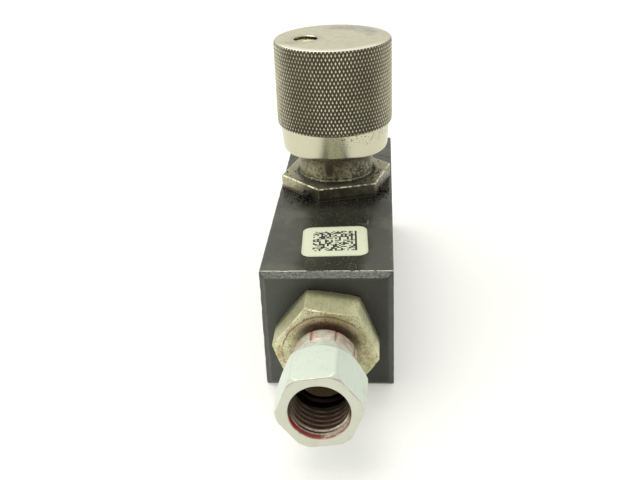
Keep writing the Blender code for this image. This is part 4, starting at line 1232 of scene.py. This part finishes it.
def build_sleeve():
    """Neck between bonnet and knob, with fine turning marks."""
    top, foot = sleeve_hi.z, HEX_TOP - 0.08
    profile = [(5.5, HEX_TOP + 0.02), (6.8, HEX_TOP + 0.02), (7.2, foot), (8.46, foot),
               (8.52, foot + 0.10), (8.50, foot + 0.22), (8.42, foot + 0.34),
               (NECK_R, foot + 0.50)]
    for z in np.arange(foot + 1.2, top - 0.6, 0.42):
        profile += [(NECK_R, z), (8.365, z + 0.10), (NECK_R, z + 0.20)]
    profile += [(NECK_R, top - 0.4), (8.0, top), (5.5, top)]
    sleeve = turned("sleeve_neck", profile, 120, angle=50)
    cut(sleeve, key_pin_holes(40.8, top + 1))
    place(sleeve, make_sleeve_material(), "housing", "sleeve_steel", "bonnet_sleeve")


def build_grime():
    """Packed oily dirt under the hex, heaped at the front left, and round the neck."""
    material = make_grime()
    angles = ring_angles(360)
    flats = hex_radius(angles, BONNET_FLATS, HEX_PHASE)
    base = 0.5 + 0.5 * wobble_round(angles, 12, 0, 0.33, 2.0)
    lumps = (0.6 + 0.5 * wobble_round(angles, 12, 0, 1.5, 5.0)
             + 0.25 * wobble_round(angles, 12, 0, 3.4, 7.0))
    heap = np.exp(-(((angles - math.radians(237) + math.pi) % TAU - math.pi) / 0.085) ** 2)
    coat = 0.05 + 0.12 * np.maximum(0, base) * np.maximum(0.2, lumps)
    width, height = coat + 0.9 * heap * lumps, coat + 1.3 * heap * lumps
    limit = HALF - 0.35
    rings = []
    # (part of the width, part of the height)
    for out, rise in ((0.0, 0.0), (0.0, 1.0), (0.18, 0.92), (0.45, 0.66), (0.72, 0.34),
                      (0.92, 0.10), (1.0, 0.0)):
        radius = flats - 0.12 + width * out
        x, y = radius * np.cos(angles), radius * np.sin(angles)
        on_bar = np.abs(x) < limit + 1.2
        x = np.clip(x, -limit, limit)
        jitter = np.array([0.12 * wobble(a, b, rise * 3, 1.9, 3.3) for a, b in zip(x, y)])
        z = TOP + 0.015 + (height * rise + np.abs(jitter) * rise) * on_bar
        rings.append(np.stack([x, y, z], -1))
    place(skin("grime_under_hex", rings, angle=60), material, "housing", "bonnet_steel")

    angles = ring_angles(240)
    lumps = (0.4 + wobble_round(angles, 9, 0, 0.5, 6.0)
             + 0.5 * wobble_round(angles, 9, 0, 1.9, 1.0))
    width = 0.16 + 0.5 * np.maximum(0.0, lumps)
    rings = [along_z(8.60 + width * out, angles, HEX_TOP - 0.13 + 0.75 * width * rise)
             for out, rise in ((0, 0), (0, 0.9), (0.25, 0.8), (0.6, 0.45), (0.9, 0.1), (1.0, 0))]
    place(skin("grime_round_neck", rings, angle=60), material, "housing", "bonnet_steel")


# count, middle and spread of the angle in degrees, middle and spread of the radius,
# height, largest size, rise above that height
CRUMBS = (
    (120, 237, 3.6, 12.6, 0.7, TOP, 0.30, 1.5),
    (60, 232, 9, 12.8, 1.0, TOP, 0.16, 0.0),
    (60, 245, 22, 14.2, 1.6, TOP, 0.09, 0.0),
    (60, 334, 8, 12.1, 0.6, TOP, 0.24, 0.9),
    (40, 316, 8, 13.9, 0.8, TOP, 0.13, 0.0),
    (46, 4, 11, 8.6, 0.15, HEX_TOP, 0.26, 2.6),
    (40, 340, 20, 9.6, 0.6, HEX_TOP - 0.06, 0.16, 0.0),
    (60, 270, 70, 10.6, 0.9, HEX_TOP - 0.02, 0.10, 0.0),
)


def crumb_lands(x, radius, angle, z):
    """Whether a crumb lies clear on the bar's top, or on the hex outside the neck."""
    from_flat = ((angle - HEX_PHASE) % (math.pi / 3)) - math.pi / 6
    hex_edge = BONNET_FLATS / 2 / max(math.cos(from_flat), 0.5)
    if z < HEX_TOP - 0.5:
        return radius >= hex_edge - 0.05 and abs(x) <= HALF - 0.4
    return 8.45 <= radius <= hex_edge - 0.5


def build_crumbs():
    """Loose black crumbs of dried oil on the bar, on the hex and by the neck."""
    rnd = random.Random(11)
    spots = []
    for count, angle_mid, angle_sd, r_mid, r_sd, z, big, rise in CRUMBS:
        for _ in range(count):
            angle = math.radians(rnd.gauss(angle_mid, angle_sd))
            radius = rnd.gauss(r_mid, r_sd)
            lifted = rise * rnd.random() ** 1.5
            size = rnd.uniform(0.06, 1.0) ** 2 * big + 0.06
            spots.append((radius - 0.45 * lifted, angle, z + lifted, size))
    bm = bmesh.new()
    for radius, angle, z, size in spots:
        x, y = radius * math.cos(angle), radius * math.sin(angle)
        if not crumb_lands(x, radius, angle, z):
            continue
        ball = bmesh.ops.create_icosphere(bm, subdivisions=2, radius=1.0)["verts"]
        size_x = size * rnd.uniform(0.7, 1.4)
        size_y = size * rnd.uniform(0.7, 1.3)
        size_z = size * rnd.uniform(0.5, 0.9)
        turn = rnd.uniform(0, TAU)
        seed = rnd.uniform(0, 50)
        cosine, sine = math.cos(turn), math.sin(turn)
        for vert in ball:
            swell = 1 + 0.42 * noise.noise(vert.co * 1.7 + Vector((seed, seed, seed)))
            from_x, from_y = vert.co.x * size_x * swell, vert.co.y * size_y * swell
            vert.co = Vector((x + from_x * cosine - from_y * sine,
                              y + from_x * sine + from_y * cosine,
                              z + size_z * 0.55 + vert.co.z * size_z * swell)) * MM
    mesh = mesh_from_bmesh("oil_crumbs", bm)
    mesh.shade_smooth()
    place(add_object("oil_crumbs", mesh), make_grime(), "housing", "bonnet_steel")


def build_adapter():
    """Hex adapter: hex and face in front, a nipple inside the nut, a taper thread behind."""
    length = 7.60                        # reach of the hex's front face
    phase = math.radians(111.1)
    angles = hex_angles(phase)
    flats = hex_radius(angles, 17.5, phase)
    adapter = Layers(along_front, angles)
    for reach in (list(np.linspace(0.02, 0.6, 7)) + [1.2, 2.2, 3.4, 4.6, 5.6]
                  + list(np.linspace(6.0, 7.44, 13))):
        front_cone = 9.0 + (length - reach) * 3.0 / 1.7
        rear_cone = 9.4 + reach * 2.2
        adapter.push(smooth_min(smooth_min(flats, front_cone, 0.10), rear_cone, 0.10), reach)
    adapter.push(smooth_min(flats - 0.06, 9.12, 0.10), 7.54)
    adapter.push(smooth_min(flats - 0.14, 9.00, 0.10), length)
    adapter.push(8.2, length)
    # face, nipple, and the bore back to the rear end
    inner = [(7.3, length), (6.7, 7.57), (6.2, 7.50), (5.2, 7.46), (4.4, 7.46), (4.1, 7.5),
             (3.7, 7.5), (3.7, 10.8), (4.6, 11.6), (4.6, 14.6), (4.4, 14.8), (4.25, 14.8),
             (2.4, 12.4), (2.4, -11.9), (7.9, -11.9), (8.15, -11.5)]
    adapter.push_all(fillet(inner, 0.14, closed=False))
    for reach in np.arange(-11.2, -0.6, TAPER_PITCH / 6):
        thread = (reach / TAPER_PITCH - angles / TAU) % 1.0
        crest = np.clip(1.1 - np.abs(thread - 0.5) * 2.6, 0, 1)
        major = 8.15 + (reach + 11.5) * 0.035
        adapter.push(major - 0.6 + 0.6 * crest, reach)
    adapter.push_all([(7.9, -0.4), (7.9, 0.0)])
    place(adapter.build("adapter_body", angle=34), make_adapter_material(),
          "housing", "adapter_zinc", "front_adapter")


NUT_COLLAR_R = 5.80
NUT_SHOULDER = 14.8                      # reach where the collar opens into the hex
NUT_THREAD_PITCH = 1.27


def push_nut_thread(nut):
    """Inner thread with a lead-in chamfer, from the front end inwards."""
    for reach in np.arange(NUT_LEN - 0.06, 16.45, -NUT_THREAD_PITCH / 11):
        phase = ((reach - 0.25) / NUT_THREAD_PITCH - nut.angles / TAU) % 1.0
        from_root = np.minimum(phase, 1 - phase) * NUT_THREAD_PITCH
        tooth = np.clip((0.475 - from_root) / 0.395, 0, 1)   # 1 at the root, 0 at the crest
        fade = smoothstep(16.4, 17.6, reach)
        radius = 4.92 + 0.60 * tooth * fade + (1 - fade) * 0.60
        deep = NUT_LEN - reach
        radius = np.minimum(radius, 5.42 if deep > 1.05 else 4.9)
        chamfer = 5.41 - 0.44 * deep
        nut.push(np.maximum(radius, chamfer), reach,
                 lift=np.where(chamfer > radius, 0.9, (1 - tooth) * fade))


def build_nut():
    phase = math.radians(7.5)
    ridges = [math.pi / 2 + math.pi / 8 + k * math.pi / 4 for k in range(8)]
    angles = hex_angles(phase, extra=ridges, base=144)
    hexagon = hex_radius(angles, 14.29, phase, power=48)
    # crimped collar: eight flattened panels with a narrow groove between each two
    to_ridge = np.min([np.abs((angles - a + math.pi) % TAU - math.pi) for a in ridges], axis=0)
    to_middle = math.pi / 8 - to_ridge
    panel = np.minimum(5.98, 5.84 / np.cos(np.clip(to_middle, 0, math.pi / 8)))
    crimp = panel - 0.26 * np.exp(-(to_ridge / 0.036) ** 2)
    groove = np.exp(-(to_ridge / 0.050) ** 2)

    def outer(reach):
        plain = smoothstep(11.42, 11.72, reach)
        open_end = 5.6 + 0.4 * smoothstep(8.40, 8.75, reach)
        collar = np.minimum(crimp * (1 - plain) + NUT_COLLAR_R * plain, open_end)
        if reach < NUT_SHOULDER - 0.21:
            return collar
        past = reach - NUT_SHOULDER
        if past < 0:
            f = (past + 0.21) / 0.21
            return collar + (6.55 - NUT_COLLAR_R) * f * f
        cone = 6.62 + past * 0.62 + 0.08 * (1 - math.exp(-past / 0.15))
        front_cone = 7.42 + (NUT_LEN - reach) * 0.42
        flats = hexagon * (1 - 0.027 * past / (NUT_LEN - NUT_SHOULDER))
        return smooth_min(smooth_min(flats, cone, 0.12), front_cone, 0.10)

    nut = Layers(along_front, angles, lift=1.0, fold=0.0, seam=0.0)
    nut.push_all([(4.05, 8.40), (5.0, 8.40)])
    for reach in (8.42, 8.50, 8.62, 8.8, 9.2, 9.8, 10.5, 11.1, 11.35):
        nut.push(outer(reach), reach, fold=groove * smoothstep(8.4, 9.0, reach))
    for reach in (11.42, 11.5, 11.57, 11.64, 11.72):
        nut.push(outer(reach), reach, fold=0.55)
    for reach in ([11.8, 12.0, 12.6, 13.4, 14.2, 14.5, 14.6, 14.66, 14.72, 14.78]
                  + list(np.arange(NUT_SHOULDER, 17.6, 0.12))
                  + list(np.arange(18.0, NUT_LEN - 0.16, 0.22))):
        nut.push(outer(reach), reach)
    # front edge: (distance from the end, cut back, seam value)
    for depth, back, seam in ((0.20, 0.0, 0.0), (0.14, 0.0, 0.6), (0.08, 0.02, 1.0),
                              (0.03, 0.06, 1.0), (0.0, 0.12, 1.0), (0.0, 0.20, 0.0)):
        nut.push(outer(NUT_LEN - depth) - back, NUT_LEN - depth, seam=seam)
    nut.push_all([(6.2, NUT_LEN), (5.50, NUT_LEN), (5.42, NUT_LEN - 0.03)])
    push_nut_thread(nut)
    back = [(5.6, 16.4), (5.6, 15.1), (5.0, 14.7), (5.0, 11.3), (4.05, 10.5)]
    nut.push_all(fillet(back, 0.12, steps=2, closed=False), lift=0.3)
    place(nut.build("swivel_nut_shell", angle=34), make_nut_material(),
          "nut", "nut_zinc", "swivel_nut")


def build_label():
    """Thin sticker with round corners on the bar, its rear right corner a touch proud."""
    half_x, half_y, corner = 6.55, 6.6, 2.0
    outline = []
    for k, (sign_x, sign_y) in enumerate(((1, 1), (-1, 1), (-1, -1), (1, -1))):
        for s in range(13):
            a = k * math.pi / 2 + s / 12 * math.pi / 2
            outline.append((sign_x * (half_x - corner) + corner * math.cos(a),
                            sign_y * (half_y - corner) + corner * math.sin(a)))
    outline = np.array(outline)
    cosine, sine = math.cos(LABEL_TURN), math.sin(LABEL_TURN)
    rings = []
    # (part of the outline, height above the bar)
    for scale, height in ((0.30, 0.012), (0.70, 0.012), (0.97, 0.012), (1.0, 0.03), (1.0, 0.10),
                          (0.994, 0.135), (0.98, 0.15), (0.85, 0.152), (0.6, 0.152),
                          (0.3, 0.152)):
        across, along = (outline * scale).T
        x = LABEL[0] + across * cosine - along * sine
        y = LABEL[1] + across * sine + along * cosine
        curl = 0.14 * np.clip((across / half_x + along / half_y - 1.25), 0, 1)
        rings.append(np.stack([x, y, TOP + height + curl], -1))
    label = skin("label_sheet", rings, closed=False, angle=50)
    place(label, make_label_material(), "housing", "label_white", "asset_label")


def build_lock_screw():
    """Set screw along Y with ringed threads and a hex socket."""
    to = along_y(LOCK_Z)
    profile = [(0.01, 9.0), (0.50, 9.0), (0.72, 9.15)]
    y = 9.3
    while y < 11.0:
        profile += [(0.80, y), (0.98, y + 0.10), (0.98, y + 0.14), (0.80, y + 0.24)]
        y += 0.28
    profile += [(0.95, 11.15), (0.80, 11.33), (0.01, 11.35)]
    screw = turned("lock_screw_body", profile, 36, to=to, closed=False)
    cut(screw, [drill(0.52, 10.4, 12.0, 6, to=to)])
    steel = make_steel("black_oxide_screw", light=(0.10, 0.10, 0.10), dark=(0.05, 0.05, 0.045),
                       rough=(0.35, 0.5))
    place(screw, steel, "lock_screw", "screw_black_steel", "lock_set_screw")


def build_spring():
    """Closed-end coil."""
    wire, radius, turns = 0.30, 4.10, 4.0
    bottom, top = spring_lo.z + wire, spring_hi.z - wire
    flat, rise = 0.9, 2.2 * wire         # turns in each closed end, and their rise
    steps, sides = 260, 12

    def point(f):
        turn = f * turns
        if turn < flat:
            z = bottom + rise * turn / flat
        elif turn > turns - flat:
            z = top - rise * (turns - turn) / flat
        else:
            z = bottom + rise + (top - bottom - 2 * rise) * (turn - flat) / (turns - 2 * flat)
        return Vector((radius * math.cos(TAU * turn), radius * math.sin(TAU * turn), z))

    rings = []
    for k in range(steps + 1):
        f = k / steps
        centre = point(f)
        along = (point(min(1, f + 0.002)) - point(max(0, f - 0.002))).normalized()
        up = along.cross(Vector((centre.x, centre.y, 0)).normalized()).normalized()
        out = up.cross(along).normalized()
        size = wire * (0.82 if k in (0, steps) else 1.0)
        rings.append([tuple(centre + size * (math.cos(TAU * s / sides) * out
                                             + math.sin(TAU * s / sides) * up))
                      for s in range(sides)])
    spring = skin("poppet_spring", rings, closed=False, angle=50)
    steel = make_steel("spring_wire", light=(0.62, 0.62, 0.60), dark=(0.45, 0.45, 0.43))
    place(spring, steel, "housing", "spring_steel", "check_spring")
    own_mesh(spring)


def finish_inner_pieces():
    """Inner pieces keep their CAD shape and get worked finishes."""
    ground = make_steel("ground_stem_steel", light=(0.66, 0.65, 0.62), dark=(0.50, 0.49, 0.46))
    pins = make_steel("pin_steel", light=(0.62, 0.61, 0.58), dark=(0.44, 0.43, 0.40),
                      rough=(0.25, 0.4))
    rubber = make_rubber("nitrile_rubber", (0.014, 0.014, 0.014))
    plastic = make_plastic("backup_ring_plastic", (0.80, 0.79, 0.74))
    clip = make_steel("clip_steel", light=(0.55, 0.54, 0.52), dark=(0.38, 0.37, 0.35))
    finishes = {
        "valve_stem": ground, "metering_needle": ground, "check_poppet": ground,
        "knob_drive_pin": pins, "dial_key_pin_front": pins, "dial_key_pin_rear": pins,
        "stem_stop_ring": clip, "bonnet_o_ring": rubber, "stem_o_ring": rubber,
        "stem_backup_ring": plastic}
    for node, material in finishes.items():
        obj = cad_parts[node]
        if len(obj.material_slots):
            for slot in obj.material_slots:
                slot.material = material
        else:
            obj.data.materials.append(material)


# ---------------------------------------------------------------- floor, light, camera
def build_floor():
    radius, sides = 2600, 64
    verts = [(radius * math.cos(a), radius * math.sin(a), -0.02) for a in ring_angles(sides)]
    floor = mesh_object("floor", verts, [list(range(sides))])
    floor.data.materials.append(make_floor())


def build_world():
    """White all round, dimmer low down on the camera's side, but not as seen directly."""
    world = bpy.data.worlds.new("studio")
    bpy.context.scene.world = world
    world.use_nodes = True
    graph = Graph(world.node_tree)
    _, y, z = graph.split(graph.add("TexCoord", output="Generated"))
    camera_side = y.fall(low=-0.97, high=-0.55)
    low_down = z.fall(low=0.10, high=0.75)
    seen = graph.add("LightPath", output="Is Camera Ray")
    dim = camera_side * low_down * (1.0 - seen)
    background = world.node_tree.nodes["Background"]
    graph.put(background.inputs["Strength"], (1.0 - dim * 0.90) * 0.80)
    background.inputs["Color"].default_value = (1.0, 0.99, 0.935, 1.0)


def area_light(name, size, power, location, target, colour):
    """size, location and target in metres."""
    light = bpy.data.lights.new(name, "AREA")
    light.shape, light.size, light.energy, light.color = "SQUARE", size, power, colour
    obj = add_object(name, light)
    obj.location = location
    aim = Vector(target) - Vector(location)
    obj.rotation_euler = aim.to_track_quat("-Z", "Y").to_euler()


def build_camera():
    """In front, above and a little to the right, looking down at the valve."""
    yaw, pitch, roll = -0.0827, 0.4532, -0.0423
    forward = Vector((math.sin(yaw) * math.cos(pitch), math.cos(yaw) * math.cos(pitch),
                      -math.sin(pitch)))
    level_right = Vector((math.cos(yaw), -math.sin(yaw), 0))
    level_up = level_right.cross(forward)
    right = math.cos(roll) * level_right + math.sin(roll) * level_up
    up = -math.sin(roll) * level_right + math.cos(roll) * level_up
    data = bpy.data.cameras.new("camera")
    data.sensor_width = 36.0
    data.lens = 49.539375
    data.clip_start, data.clip_end = 0.005, 20.0
    camera = add_object("camera", data)
    matrix = Matrix.Identity(4)
    for k in range(3):
        matrix[k][0], matrix[k][1], matrix[k][2] = right[k], up[k], -forward[k]
    matrix.translation = Vector((11.20, -144.27 + FRONT, 102.90)) * MM
    camera.matrix_world = matrix
    bpy.context.scene.camera = camera


build_body()
build_bonnet()
build_sleeve()
build_grime()
build_crumbs()
build_knob()
build_lens()
build_dial()
build_adapter()
build_nut()
build_label()
build_lock_screw()
build_spring()
finish_inner_pieces()
build_floor()
build_world()
area_light("key_overhead", size=0.7, power=5.0, location=(-0.25, 0.15, 0.85),
           target=(0, -0.01, 0.02), colour=(1.0, 0.985, 0.93))
area_light("fill_left", size=0.6, power=1.2, location=(-0.75, -0.35, 0.45),
           target=(0, -0.02, 0.03), colour=(1.0, 1.0, 0.98))
build_camera()
bpy.context.scene.view_settings.view_transform = "Standard"
bpy.context.scene.view_settings.look = "None"
